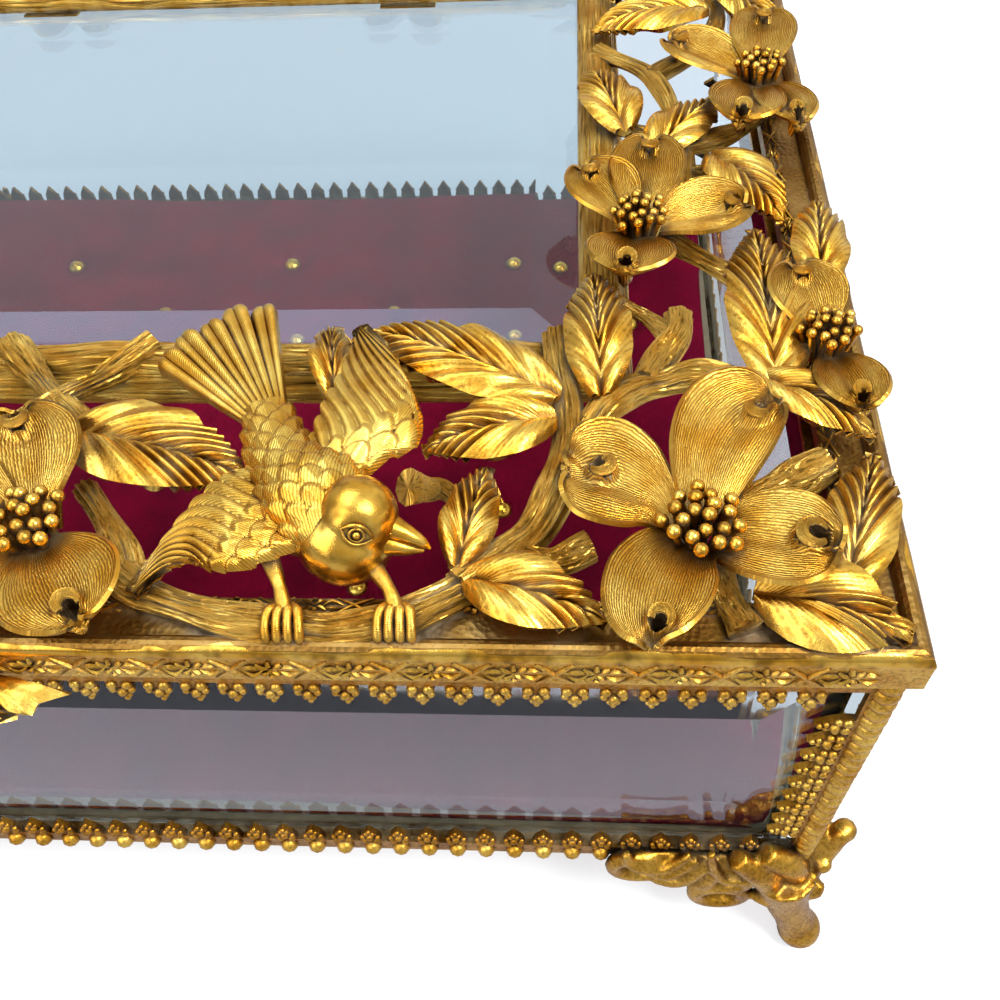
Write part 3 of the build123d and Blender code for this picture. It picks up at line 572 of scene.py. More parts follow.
def repeated(pattern: Piece, count: int, pitch: float, start: float, name: str) -> Piece:
    """Repeat a pattern along X, centred.

    Args:
        pattern: what is repeated.
        count: how many.
        pitch: distance from one to the next.
        start: how far the row is moved from the centred place.
        name: the row's name.

    Returns:
        The row.
    """
    row = copied(pattern, shift(-(count - 1) / 2 * pitch + start, 0, 0), name)
    offset = {"use_constant_offset": True, "constant_offset_displace": (pitch * MM, 0, 0)}
    modify(row, "ARRAY", count=count, use_relative_offset=False, **offset)
    return row


def walls(half_x: float, half_y: float) -> list[tuple[str, float, float, Matrix]]:
    """Go round the four sides of a box.

    Args:
        half_x: half the box's length.
        half_y: half its depth.

    Returns:
        Each side's name, half its length, its distance from the middle and its turn from the front.
    """
    found = []
    for side, angle in SIDES.items():
        half, out = (half_x, half_y) if side in ("front", "back") else (half_y, half_x)
        found.append((side, half, out, Matrix.Rotation(radians(angle), 4, "Z")))
    return found


def dress(
    piece: Piece,
    material: bpy.types.Material,
    body: Body,
    *replaced: str,
    slot: str = "gilt_brass",
    angle: float | None = 60.0,
) -> None:
    """Give a new piece its shading, its material and its body, and hide the nodes that it stands for.

    Args:
        piece: the finished piece.
        material: its finish.
        body: what it moves with.
        *replaced: nodes that it stands for.
        slot: not used.
        angle: edges sharper than this many degrees stay sharp, or None to keep the shading that it has.
    """
    if angle is not None:
        smoothed(piece, angle)
    piece.data.materials.clear()
    piece.data.materials.append(material)
    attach(piece, body.value)
    if replaced:
        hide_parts(*replaced)
    log.info("%s: %d faces", piece.name, len(piece.data.polygons))


def carve(rows: int, columns: int, place: Callable[[float, float], Vector], wall: float = 0.0) -> Piece:
    """Shape a grid primitive into a carved sheet or a closed tube.

    Relief such as a leaf's ribs has no primitive, so each corner of the grid is carried by a formula.

    Args:
        rows: cells along the shape.
        columns: cells across it.
        place: maps (0..1 along, -1..1 across) to millimetres.
        wall: the sheet's thickness, or 0 where the formula closes the shape itself.

    Returns:
        The piece.
    """
    piece = primitive(bpy.ops.mesh.primitive_grid_add, x_subdivisions=rows, y_subdivisions=columns, size=2.0)
    for vertex in piece.data.vertices:
        vertex.co = Vector(place((vertex.co.x + 1) / 2, vertex.co.y)) * MM
    if wall:
        modify(piece, "SOLIDIFY", thickness=wall * MM, offset=-1.0)
        return piece
    merge = (bpy.ops.mesh.remove_doubles, {"threshold": MERGE_M})
    return edit(piece, merge, (bpy.ops.mesh.normals_make_consistent, {"inside": False}))


def ball(
    centre: Sequence[float], radius: float, segments: int = 16, rings: int = 10, scale: Place = (1, 1, 1)
) -> Piece:
    """Add a sphere.

    Args:
        centre: its middle in millimetres.
        radius: its radius.
        segments: faces round it.
        rings: faces from pole to pole.
        scale: how it is stretched.

    Returns:
        The piece.
    """
    faces = {"segments": segments, "ring_count": rings, "scale": scale}
    return primitive(
        bpy.ops.mesh.primitive_uv_sphere_add, radius=radius * MM, location=Vector(centre) * MM, **faces
    )


def ring(centre: Sequence[float], major: float, minor: float, turn: float = 0.0) -> Piece:
    """Add a round ring.

    Args:
        centre: its middle in millimetres.
        major: radius of its middle line.
        minor: radius of its section.
        turn: rotation about X in radians.

    Returns:
        The piece.
    """
    sizes = {"major_radius": major * MM, "minor_radius": minor * MM}
    faces = {"major_segments": 20, "minor_segments": 8}
    place = {"location": Vector(centre) * MM, "rotation": (turn, 0, 0)}
    return primitive(bpy.ops.mesh.primitive_torus_add, **sizes, **faces, **place)


def spread(values: Sequence[float], share: float) -> float:
    """Read a value off a list that is spread evenly over 0..1.

    Args:
        values: the list, of two or more.
        share: the place on it.

    Returns:
        The value there.
    """
    at = min(max(share, 0.0), 1.0) * (len(values) - 1)
    i = min(int(at), len(values) - 2)
    return values[i] + (values[i + 1] - values[i]) * (at - i)


def on_curve(points: Sequence[Vector], share: float) -> tuple[Vector, Vector]:
    """Find a point on the smooth curve through some points.

    Args:
        points: the points, two or more.
        share: 0 at the first point and 1 at the last.

    Returns:
        The place and the direction there.
    """
    spans = len(points) - 1
    at = min(max(share, 0.0), 1.0) * spans
    i = min(int(at), spans - 1)
    t = at - i
    p1, p2 = points[i], points[i + 1]
    p0 = points[i - 1] if i > 0 else p1 * 2 - p2
    p3 = points[i + 2] if i + 2 <= spans else p2 * 2 - p1
    a, b, c = (p2 - p0) / 2, p0 - p1 * 2.5 + p2 * 2 - p3 / 2, (p3 - p0) / 2 + (p1 - p2) * 1.5
    return p1 + a * t + b * t * t + c * t**3, (a + b * 2 * t + c * 3 * t * t).normalized()


def between(first: Sequence[Vector], second: Sequence[Vector], s: float, t: float) -> Vector:
    """Find a place on the sheet that two edge curves span.

    Args:
        first: the edge at t -1.
        second: the edge at t 1.
        s: 0..1 along the edges.
        t: -1..1 across.

    Returns:
        The place.
    """
    return on_curve(first, s)[0].lerp(on_curve(second, s)[0], (t + 1) / 2)


def flat_curve(points: Sequence[Point]) -> list[Vector]:
    """Turn plan points to vectors at height 0."""
    return [Vector((x, y, 0.0)) for x, y in points]


def path_length(points: Sequence[Vector]) -> float:
    """Add up the distances from point to point."""
    return sum((b - a).length for a, b in zip(points, points[1:]))


def scales(along: float, across: float, pitch: float, width: float, rise: float) -> float:
    """Find the height of overlapping round feathers, those nearer the head on top.

    Args:
        along: millimetres from head to tail.
        across: millimetres across.
        pitch: distance from row to row.
        width: a feather's width.
        rise: height of a feather's free edge.

    Returns:
        The height.
    """
    row = floor(along / pitch)
    for k in (row - 1, row):
        beside = ((across / width + 0.5 * (k % 2)) % 1.0 - 0.5) * 2
        reach = along / pitch - k
        end = 1.02 + 0.85 * sqrt(max(0.0, 1 - beside * beside))
        if reach <= end:
            shaft = 0.16 * rise * exp(-((beside / 0.14) ** 2))
            shoulder = 0.36 * rise * exp(-(((end - reach) * pitch / 0.26) ** 2))
            return rise * reach / 1.87 + shaft - shoulder - 0.3 * rise * abs(beside) ** 3
    return 0.0


def tube(
    points: Sequence[Sequence[float]],
    radii: Sequence[float],
    bark: float = 0.0,
    sides: int = 12,
    step: float = 1.0,
    seed: int = 0,
) -> Piece:
    """Make a round or barky rod along a smooth curve, closed by flat ends.

    Args:
        points: the curve's points in millimetres.
        radii: radii spread evenly along it.
        bark: how deep the bark's lengthwise grooves go, as a share of the radius.
        sides: faces round it.
        step: length of a face along it.
        seed: which bark it gets.

    Returns:
        The piece.
    """
    path = [Vector(p) for p in points]
    length = path_length(path)
    rows = max(4, ceil(length / step)) + 2
    chance = Random(seed)
    waves = [(chance.randint(3, 7), chance.uniform(0, 6.3), chance.uniform(-0.25, 0.25)) for _ in range(3)]
    swell = [(chance.uniform(0.25, 0.7), chance.uniform(0, 6.3)) for _ in range(3)]

    def place(s: float, t: float) -> Vector:
        """Place a corner of the rod's grid.

        Args:
            s: 0..1 along the rod.
            t: -1..1 round it.

        Returns:
            Its place in millimetres.
        """
        row = s * rows
        inner = min(max((row - 1) / (rows - 2), 0.0), 1.0)
        centre, along = on_curve(path, inner)
        beside = along.cross(Vector((0, 0, 1)))
        beside = beside.normalized() if beside.length > 0.05 else Vector((1, 0, 0))
        above = beside.cross(along).normalized()
        angle, run = t * pi, inner * length
        groove = sum(abs(sin(k * angle + phase + turn * run)) for k, phase, turn in waves) / 3 - 0.64
        knots = sum(sin(pace * run + phase) for pace, phase in swell) / 3
        radius = spread(radii, inner) * (1 + bark * (groove + 0.55 * knots))
        if row < 0.5 or row > rows - 0.5:
            radius = 0.0
        return centre + (beside * cos(angle) + above * sin(angle)) * radius

    return carve(rows, sides, place)


# Ornament: places in millimetres seen from above, for the lid's right half


@dataclass
class Leaf:
    """A pointed leaf with long ribs that run forward from its midrib."""

    base: Point
    tip: Point
    width: float
    level: float = 78.3
    bow: float = 1.0
    tilt: float = 0.0
    rib: float = 0.62
    pitch: float = 2.6
    forward: float = 2.3
    wall: float = 0.9

    def build(self) -> Piece:
        """Carve the leaf.

        Returns:
            The piece.
        """
        (bx, by), (tx, ty) = self.base, self.tip
        length = hypot(tx - bx, ty - by)
        ux, uy = (tx - bx) / length, (ty - by) / length
        ribs = max(4, round(length / self.pitch))
        half = self.width / 2

        def margin(start: float, slope: float) -> float:
            """Find how far out a rib runs before it meets the leaf's edge.

            Args:
                start: where the rib leaves the midrib, 0..1 of the leaf's length.
                slope: how far it runs forward for each millimetre out.

            Returns:
                The distance from the midrib.
            """
            across = 0.0
            for _ in range(14):
                reach = min((start * length + slope * across) / length, 1.0)
                edge = max(0.03, sin(pi * (0.03 + 0.97 * reach) ** 0.8) ** 0.85)
                across += 0.5 * (half * edge - across)
            return across

        def place(s: float, t: float) -> Vector:
            """Place a corner of the leaf's grid.

            Args:
                s: 0..1 over all ribs.
                t: -1..1 out along a rib on either side.

            Returns:
                Its place in millimetres.
            """
            slope = 0.25 + self.forward * min(1.0, s / 0.25)
            out = margin(s, slope)
            ridge = (0.5 - 0.5 * cos(2 * pi * ribs * s)) ** 0.7
            across = t * out * (1 + 0.06 * ridge * abs(t) ** 3)
            along = min(s * length + slope * abs(across), length * (1 + 0.01 * ridge))
            fullness = min(1.0, out / (half * 0.3))
            dome = 0.75 * sin(pi * min(1.0, abs(t) * 0.82 + 0.04))
            height = self.bow * sin(pi * (along / length) ** 0.9)
            height += fullness * (dome + self.rib * ridge * min(1.0, abs(t) * 5))
            height += self.tilt * across / max(half, 0.1) - 0.45 * abs(t) ** 4
            return Vector((bx + ux * along - uy * across, by + uy * along + ux * across, self.level + height))

        return carve(ribs * 10, 20, place, self.wall)


@dataclass
class Petal:
    """A broad chased petal between two edges, cupped, with a pit at its end and a curled lip round it."""

    first: Sequence[Point]
    second: Sequence[Point]
    curl: Point
    level: float = 79.3
    curl_radius: float = 1.15
    hooked: bool = False
    lift: float = 1.7
    cup: float = 1.25
    rows: int = 40

    def build(self) -> list[Piece]:
        """Carve the petal and its curled lip.

        Returns:
            The petal and the lip.
        """
        first, second = flat_curve(self.first), flat_curve(self.second)
        end = Vector((*self.curl, 0))
        out = (end - (first[0] + second[0]) / 2).normalized()
        beside = Vector((-out.y, out.x, 0))
        pit = self.curl_radius * 0.72

        def place(s: float, t: float) -> Vector:
            """Place a corner of the petal's grid.

            Args:
                s: 0..1 from base to end.
                t: -1..1 from the first edge to the second.

            Returns:
                Its place in millimetres.
            """
            spot = between(first, second, s, t)
            near = (spot - end).length_squared / pit**2
            past, aside = (spot - end).dot(out), (spot - end).dot(beside)
            height = self.lift * sin(pi / 2 * min(1.0, 1.2 * s))
            height += self.cup * (abs(t) ** 2.4) * sin(pi * min(1.0, 0.1 + 0.85 * s))
            height -= 0.35 * exp(-((t / 0.25) ** 2)) * s
            height += 0.2 * exp(-(((1 - abs(t)) / 0.06) ** 2)) * min(1.0, 4 * s)
            height += 1.15 * exp(-((near - 2.6) ** 2) / 2.4) - 2.6 * exp(-(near**1.5))
            if past > 0:
                height -= 0.9 * exp(-((aside / 0.75) ** 2)) * min(1.0, past / 1.2)
            waved = 0.16 * sin(t * 7 + end.x) + 0.5 * sin(pi * abs(t)) ** 2
            height += waved * sin(pi * min(1.0, s * 1.1))
            return Vector((spot.x, spot.y, self.level + height))

        sheet = carve(self.rows, round(self.rows * 0.9), place, 0.45)
        sweep, lead = (285, 38) if self.hooked else (235, 62)
        start = atan2(out.y, out.x) + radians(lead)
        points = []
        for i in range(9):
            angle = start + radians(sweep) * i / 8
            reach = self.curl_radius * (1.0 - 0.02 * i)
            high = self.level + self.lift + 0.95 + 0.3 * sin(pi * i / 8)
            points.append((end.x + reach * cos(angle), end.y + reach * sin(angle), high))
        seed = round(abs(self.curl[0]) * 10)
        return [sheet, tube(points, [0.24, 0.5, 0.56, 0.52, 0.34], 0.2, 12, 0.2, seed)]


# Share of a plain petal's length and of its half width, along its edge
PLAIN_EDGE = ((0.0, 0.34), (0.16, 0.62), (0.38, 0.93), (0.62, 1.0), (0.84, 0.78), (0.98, 0.36), (0.95, 0.06))


def plain_petal(middle: Point, radius: float, tip: Point, width: float, level: float, rows: int) -> Petal:
    """Make a petal from its tip and width where the photo shows no more of it.

    Args:
        middle: the blossom's middle.
        radius: the blossom's cluster radius.
        tip: the petal's end.
        width: its greatest width.
        level: height of its base.
        rows: cells along it.

    Returns:
        The petal.
    """
    (mx, my), (tx, ty) = middle, tip
    length = hypot(tx - mx, ty - my)
    ux, uy = (tx - mx) / length, (ty - my) / length
    start = radius * 0.5
    run = length - start

    def spot(share: float, aside: float) -> Point:
        """Find a place by its share of the length and its distance from the midline."""
        reach = start + run * share
        return mx + ux * reach - uy * aside, my + uy * reach + ux * aside

    edges = [[spot(share, sign * out * width / 2) for share, out in PLAIN_EDGE] for sign in (-1, 1)]
    return Petal(*edges, spot(0.84, 0.0), level, width * 0.09, lift=1.5, cup=1.1, rows=rows)


def pin_cluster(middle: Point, radius: float, level: float, top: float, head: float) -> list[Piece]:
    """Stand round-headed pins close together in the middle of a blossom.

    Args:
        middle: the blossom's middle.
        radius: the cluster's radius.
        level: height of the pins' feet.
        top: height of the middle pin's head.
        head: radius of a head.

    Returns:
        The pins.
    """
    count = round((radius / head) ** 2 * 0.5)
    pins = []
    for i in range(count):
        out = (radius - head * 0.7) * sqrt((i + 0.3) / (count - 0.6))
        angle = i * GOLDEN_ANGLE
        x, y = middle[0] + out * cos(angle), middle[1] + out * sin(angle)
        z = top - head - 1.0 * (out / radius) ** 2 - 0.25 * (i % 3)
        foot = (middle[0] + (x - middle[0]) * 0.62, middle[1] + (y - middle[1]) * 0.62, level)
        pins.append(ball((x, y, z), head, 14, 9))
        pins.append(tube([foot, (x, y, z)], [0.5, 0.38], sides=7, step=2.0))
    return pins


# Each branch: its places and the radii of its two ends
BRANCHES = {
    Strip.FRONT: [
        (
            [
                *((12.5, -61), (15.8, -63.4), (20, -64.6), (25, -66.2), (30, -67)),
                *((35, -67), (40, -66.2), (44.5, -64), (47.6, -61.4)),
            ],
            (1.6, 1.9),
        ),
        (
            [
                *((46.4, -62.8), (50.4, -58.7), (53.2, -55.2), (55.1, -51)),
                *((56.1, -45.8), (56.3, -40.3), (55.4, -34.5), (55, -28.5)),
            ],
            (2.0, 1.6),
        ),
        ([(52.2, -58.4), (55.2, -58.9), (58.6, -57.3)], (1.0, 1.3)),
        (
            [
                *((56.6, -47), (57.6, -44.2), (59.8, -40.5), (63, -37.2)),
                *((66.8, -35.3), (70.6, -35.1), (74.7, -36.3)),
            ],
            (1.4, 1.7),
        ),
        ([(72.6, -35.4), (79, -35.9), (86.5, -36.5)], (1.5, 1.2)),
        ([(14.4, -62.8), (12.4, -58.6), (9.6, -54.6), (6.1, -50.3)], (1.6, 1.3)),
        ([(47.6, -60.4), (46.2, -55.2), (45.2, -51.8), (43.6, -50.4), (41.8, -51)], (0.9, 0.9)),
        ([(71.6, -53.6), (75.3, -50.9), (78.6, -49.2), (82.6, -47.2)], (1.2, 2.0)),
        ([(69.8, -58.4), (71, -62.4), (72.6, -66.6)], (1.3, 1.9)),
        ([(64.6, -35.6), (66.4, -32), (68.6, -28.8), (68.9, -25.6)], (1.4, 1.7)),
        ([(68, -28.4), (65, -25), (60.5, -22.6)], (1.1, 0.9)),
        ([(31.4, -46), (30.8, -41), (30.6, -34)], (0.9, 0.9)),
        ([(-3.5, -41.5), (0.6, -37.9), (4.1, -34.1), (8.6, -29.4)], (1.2, 1.6)),
    ],
    Strip.SIDES: [
        ([(61.5, -16.5), (67.5, -11), (71, -3), (71.2, 9.8), (68, 23), (60.5, 31.5)], (1.3, 1.1)),
        ([(68, 23), (76, 32), (78.5, 44), (70, 53), (60.5, 49)], (1.3, 1.1)),
        ([(71.2, 6), (79, 11), (85.5, 17)], (1.2, 1.0)),
        ([(67.5, -11), (77, -19), (85.5, -26)], (1.2, 1.1)),
        ([(71.2, 8), (66, 10.5), (61, 11)], (1.0, 0.8)),
        ([(71.2, 2), (77, 0)], (1.0, 0.8)),
    ],
    Strip.BACK: [
        ([(-1, 57.5), (10, 60.5), (22, 57), (34, 60.5), (46, 57), (60, 61)], (1.2, 1.2)),
        ([(10, 60), (7, 52.5)], (1.0, 0.8)),
        ([(34, 60), (30, 52.5)], (1.0, 0.8)),
        ([(22, 57), (25, 65)], (1.0, 0.8)),
        ([(46, 57), (49, 65)], (1.0, 0.8)),
    ],
}
# The cut twig that rises beside the front branch
SNAG = ([(43.2, -50.9, 77.6), (41.6, -51.6, 78.4), (40.6, -52.2, 79.4)], [0.8, 1.5, 1.9])
LEAVES = {
    Strip.FRONT: [
        Leaf((55.6, -39.6), (33.4, -29.4), 9.0, 78.7, 1.3),
        Leaf((55.2, -42.0), (41.4, -46.6), 8.4, 78.3, 0.9),
        Leaf((46.0, -61.4), (48.2, -48.8), 5.4, 78.4, 1.0, 0.5, pitch=2.3),
        Leaf((46.6, -62.0), (60.0, -66.6), 7.6, 78.3, 1.1),
        Leaf((2.8, -43.6), (24.2, -50.2), 10.6, 78.0, 1.4),
        Leaf((59.9, -39.6), (59.2, -19.6), 7.4, 78.4, 1.4, -0.4),
        Leaf((31.4, -40.2), (29.8, -28.2), 4.6, 78.2, 1.6, 0.9, forward=3.5),
        Leaf((78.2, -39.2), (78.6, -12.0), 9.2, 78.5, 1.6, 0.3),
        Leaf((75.8, -37.2), (87.2, -45.4), 6.2, 79.0, 1.2, forward=3.2),
        Leaf((81.4, -63.8), (87.0, -46.6), 7.0, 78.1, 0.9, -0.6),
        Leaf((73.4, -63.0), (87.0, -67.4), 8.4, 78.0, 0.8, 1.1, pitch=2.7, forward=3.8),
    ],
    Strip.SIDES: [
        Leaf((63.8, 8.0), (59.4, 23.0), 8.0, 78.4, 1.2),
        Leaf((67.0, 2.5), (76.0, 14.6), 7.5, 78.4, 1.3),
        Leaf((74.5, 3.0), (82.4, -10.4), 8.0, 78.3, 1.2),
        Leaf((85.0, -23.0), (86.6, -6.5), 6.6, 78.3, 1.1),
        Leaf((77.0, 39.0), (59.6, 34.0), 9.6, 78.3, 1.2),
        Leaf((79.0, 45.0), (86.6, 32.0), 7.0, 78.2, 1.1),
        Leaf((72.0, 52.5), (62.4, 43.4), 8.0, 78.2, 1.1),
    ],
    Strip.BACK: [
        Leaf((4.5, 58.5), (14.0, 54.0), 5.2, 78.1, 0.7),
        Leaf((12.0, 60.5), (22.0, 64.8), 5.2, 78.1, 0.7),
        Leaf((36.0, 60.0), (45.0, 65.2), 5.2, 78.1, 0.7),
        Leaf((47.0, 57.5), (57.0, 53.3), 5.2, 78.1, 0.7),
    ],
}
CORNER_MIDDLE = (68.8, -57.9)
CORNER_PETALS = [
    Petal(
        [(71.4, -55.6), (73.8, -52.4), (76.1, -48.9), (77.6, -45.4), (77.9, -42.8)],
        [
            *((67.4, -55.4), (66.7, -50.9), (66.8, -46.6), (68.2, -42.4)),
            *((70.9, -39.5), (74.2, -38.8), (76.4, -40.2), (77.6, -42.2)),
        ],
        (75.5, -44.1),
        79.4,
    ),
    Petal(
        [
            *((67.6, -55.4), (66.1, -50.8), (64.7, -48.0), (62.3, -45.8)),
            *((59.7, -45.4), (57.4, -46.6), (56.2, -49.3), (56.6, -50.9)),
        ],
        [
            *((66.8, -59.0), (64.0, -57.4), (61.4, -57.9), (58.8, -57.6)),
            *((56.9, -56.5), (55.9, -53.8), (56.4, -51.6)),
        ],
        (59.6, -51.2),
        79.2,
        1.05,
    ),
    Petal(
        [
            *((66.8, -58.4), (64.6, -57.8), (62.2, -59.5), (60.4, -62.0)),
            *((59.6, -65.2), (59.9, -68.0), (61.3, -69.9), (63.2, -70.2)),
        ],
        [(70.6, -60.0), (69.6, -61.8), (69.5, -64.2), (68.5, -66.9), (66.6, -69.0), (64.3, -70.0)],
        (64.4, -68.3),
        79.3,
        0.95,
    ),
    Petal(
        [
            *((69.4, -60.2), (71.4, -62.6), (73.8, -64.2), (76.6, -64.7)),
            *((79.0, -63.7), (80.4, -61.4), (80.6, -60.6)),
        ],
        [
            *((71.4, -55.2), (74.0, -54.0), (76.9, -54.1), (79.5, -55.2)),
            *((81.0, -57.6), (81.3, -59.2), (80.9, -60.2)),
        ],
        (78.7, -59.5),
        79.6,
        1.35,
        hooked=True,
    ),
]
# Each blossom: its middle, its cluster's radius, and its petals' tips and widths
BLOSSOMS = {
    Strip.FRONT: [],
    Strip.SIDES: [
        (
            *((64.8, -12.8), 3.8),
            [((58.0, -2.6), 8.8), ((66.8, 2.6), 9.0), ((77.8, -10.4), 9.6), ((62.6, -22.8), 10.0)],
        ),
        (
            *((82.2, 18.5), 3.5),
            [((70.0, 26.6), 8.8), ((78.2, 6.2), 9.6), ((86.2, 6.0), 7.0), ((84.2, 33.0), 8.8)],
        ),
        ((84.0, -32.8), 3.5, [((82.0, -21.6), 8.4), ((86.0, -43.4), 7.0)]),
        (
            *((72.5, 57.5), 3.6),
            [((63.2, 54.6), 8.8), ((79.0, 48.6), 8.4), ((84.2, 61.8), 8.8), ((70.2, 66.8), 8.4)],
        ),
    ],
    Strip.BACK: [
        (
            *((28.5, 59.0), 2.5),
            [((22.2, 53.8), 5.9), ((35.2, 53.8), 5.9), ((35.2, 65.2), 5.9), ((21.8, 65.2), 5.9)],
        ),
    ],
}
MIDDLE_TIPS = [((-1.6, -43.2), 12.0), ((12.6, -69.2), 11.4), ((-5.4, -68.4), 11.0), ((-12.0, -52.4), 11.6)]
MIDDLE_BLOSSOM = ((4.0, -57.8), 4.4, MIDDLE_TIPS)


@dataclass
class Openwork:
    """The cast flora round the lid's glass: branches, leaves and four-petalled blossoms."""

    finishes: Finishes
    branch_z: float = 76.8
    bark: float = 0.46
    petal_z: float = 79.4
    pin_top: float = 83.6
    corner_radius: float = 4.5
    head: float = 0.72
    small_head: float = 0.58

    def build(self) -> None:
        """Build all strips, each for both halves of the lid."""
        for strip in Strip:
            self.branches(strip)
            leaves = [leaf.build() for leaf in LEAVES[strip]]
            self.halves(f"ribbed_leaves_{strip.value}", leaves, Finish.LEAF, f"leaves_{strip.value}")
            self.blossoms(strip)

    def halves(
        self, name: str, pieces: list[Piece], finish: Finish, *replaced: str, extra: Sequence[Piece] = ()
    ) -> None:
        """Join the right half's pieces, mirror them to the left half and dress the whole.

        Args:
            name: the whole piece's name.
            pieces: pieces of the right half.
            finish: its finish.
            *replaced: the nodes that it stands for.
            extra: pieces that aren't mirrored.
        """
        half = joined(name, pieces)
        modify(half, "MIRROR", use_axis=(True, False, False), use_mirror_merge=False)
        dress(joined(name, [half, *extra]), self.finishes[finish], Body.LID, *replaced, angle=55)

    def branches(self, strip: Strip) -> None:
        """Build one strip's branches, rods of bark that thin or widen towards their cut ends.

        Args:
            strip: which strip.
        """
        rods = []
        for number, (points, radii) in enumerate(BRANCHES[strip]):
            path = [(x, y, self.branch_z + 0.5 * sin(2.1 * i + number)) for i, (x, y) in enumerate(points)]
            rods.append(tube(path, radii, self.bark, 44, 0.7, seed=number + 7))
        if strip is Strip.FRONT:
            rods.append(tube(*SNAG, 0.1, 20, 0.4))
        self.halves(f"bark_branches_{strip.value}", rods, Finish.BARK, f"branches_{strip.value}")

    def flowers(self, blossoms: list, rows: int, head: float) -> tuple[list[Piece], list[Piece]]:
        """Build petals and pins for some blossoms.

        Args:
            blossoms: middle, radius and petals of each.
            rows: cells along a petal.
            head: radius of a pin's head.

        Returns:
            The petals, then the pins.
        """
        petals, pins = [], []
        for middle, radius, tips in blossoms:
            for number, (tip, width) in enumerate(tips):
                level = self.petal_z + 0.25 * (number % 2)
                petals += plain_petal(middle, radius, tip, width, level, rows).build()
            pins += pin_cluster(middle, radius, self.petal_z - 1.2, self.pin_top, head)
        return petals, pins

    def blossoms(self, strip: Strip) -> None:
        """Build one strip's blossoms, and at the front the corner's and the middle one as well.

        Args:
            strip: which strip.
        """
        petals, pins = self.flowers(BLOSSOMS[strip], 24, self.small_head)
        more_petals, more_pins, replaced = [], [], []
        if strip is Strip.FRONT:
            for petal in CORNER_PETALS:
                petals += petal.build()
            level = self.petal_z - 0.6
            pins += pin_cluster(CORNER_MIDDLE, self.corner_radius, level, self.pin_top, self.head)
            more_petals, more_pins = self.flowers([MIDDLE_BLOSSOM], 36, self.head)
            replaced = ["stamens"]
        name = strip.value
        self.halves(f"chased_petals_{name}", petals, Finish.PETAL, f"blossoms_{name}", extra=more_petals)
        self.halves(f"stamen_pins_{name}", pins, Finish.BURNISHED, *replaced, extra=more_pins)


# Walls and lid

# Places, radii and reach of a heart's grains: two lobes first, then down to its point
HEART = (
    (-0.78, -0.62, 0.6, 0.9),
    (0.78, -0.62, 0.6, 0.9),
    (-0.98, -1.62, 0.44, 1.0),
    (0.98, -1.62, 0.44, 1.0),
    (0, -1.86, 0.6, 1.15),
    (-0.4, -2.72, 0.34, 1.0),
    (0.4, -2.72, 0.34, 1.0),
    (0, -3.36, 0.36, 1.0),
)


@dataclass
class HeartEdging:
    """Granulated hearts along the stamped strips and down the corner posts, between these heights."""

    finishes: Finishes
    half_x: float
    half_y: float
    low: float
    high: float
    pitch: float = 3.81
    post_leg: float = 2.3
    edge_gap: float = 7.1
    bottom_width: float = 2.8
    top_width: float = 3.4
    hem: float = 1.3

    def grain(self, x: float, z: float, radius: float, reach: float) -> Piece:
        """Model a half-round grain that stands out of the strip's face.

        Args:
            x: place along the strip.
            z: height.
            radius: the grain's radius.
            reach: how far it stands out, as a share of the radius.

        Returns:
            The piece.
        """
        grain = sliced(ball((0, 0, 0), radius, 10, 6, (1, reach, 1)), (0, 0.05, 0), (0, 1, 0))
        grain.data.transform(shift(x, 0, z))
        return grain

    def build(self) -> None:
        """Build the rows on the four walls and the four posts."""
        heart = joined("heart", [self.grain(*grain) for grain in HEART])
        bump = self.grain(0, 0, 1.22, 1.05)
        over = Matrix.Rotation(pi, 4, "Y")
        top, bottom = self.high - self.top_width, self.low + self.bottom_width
        for side, half, out, turn in walls(self.half_x, self.half_y):
            count = int((half - self.post_leg) / self.pitch) * 2 - 1
            rows = (
                ("heart_beads_top", heart, count, shift(0, -out, top), Finish.STAMPED),
                # The bottom hearts take the darker copy of the gilt brass: painted shade
                ("heart_beads_bottom", heart, count, shift(0, -out, bottom) @ over, Finish.DARK),
                ("hem_beads", bump, count + 2, shift(0, -out, self.low + self.hem), Finish.STAMPED),
            )
            for name, pattern, number, place, finish in rows:
                row = repeated(pattern, number, self.pitch, 0.0, f"{name}_{side}")
                row.data.transform(turn @ place)
                dress(row, self.finishes[finish], Body.CASKET)
        self.posts(heart)
        bpy.data.objects.remove(heart)
        bpy.data.objects.remove(bump)

    def posts(self, heart: Piece) -> None:
        """Build the posts' rows and the ribbed roll up each corner.

        Args:
            heart: the pattern of the rows.
        """
        first, last = self.low + self.edge_gap, self.high - self.edge_gap - 0.6
        count, middle = int((last - first) / self.pitch), (first + last) / 2
        down, turn = Matrix.Rotation(-pi / 2, 4, "Y"), Matrix.Rotation(pi / 2, 4, "Z")
        front = shift(self.half_x - self.post_leg, -self.half_y, middle) @ down.inverted()
        side = turn @ shift(-self.half_y + self.post_leg, -self.half_x, middle) @ down
        axis = (self.half_x - 0.6, -self.half_y + 0.6)
        step = self.pitch / 2
        for corner, (sx, sy) in CORNERS.items():
            rows = [repeated(heart, count, self.pitch, 0.0, "row") for _ in range(2)]
            for row, place in zip(rows, (front, side)):
                row.data.transform(place)
            for i in range(int((self.high - self.low - 1) / step)):
                foot = self.low + 1.2 + i * step
                points = [(*axis, foot + step * share) for share in (0.02, 0.3, 0.7, 0.98)]
                rows.append(tube(points, [1.25, 1.55, 1.55, 1.25], 0.05, 16, 0.5, seed=i))
            post = joined(f"post_beads_{corner}", rows)
            post.data.transform(Matrix.Diagonal((sx, -sy, 1, 1)))
            if sx * -sy < 0:
                post.data.flip_normals()
            dress(post, self.finishes[Finish.STAMPED], Body.CASKET)


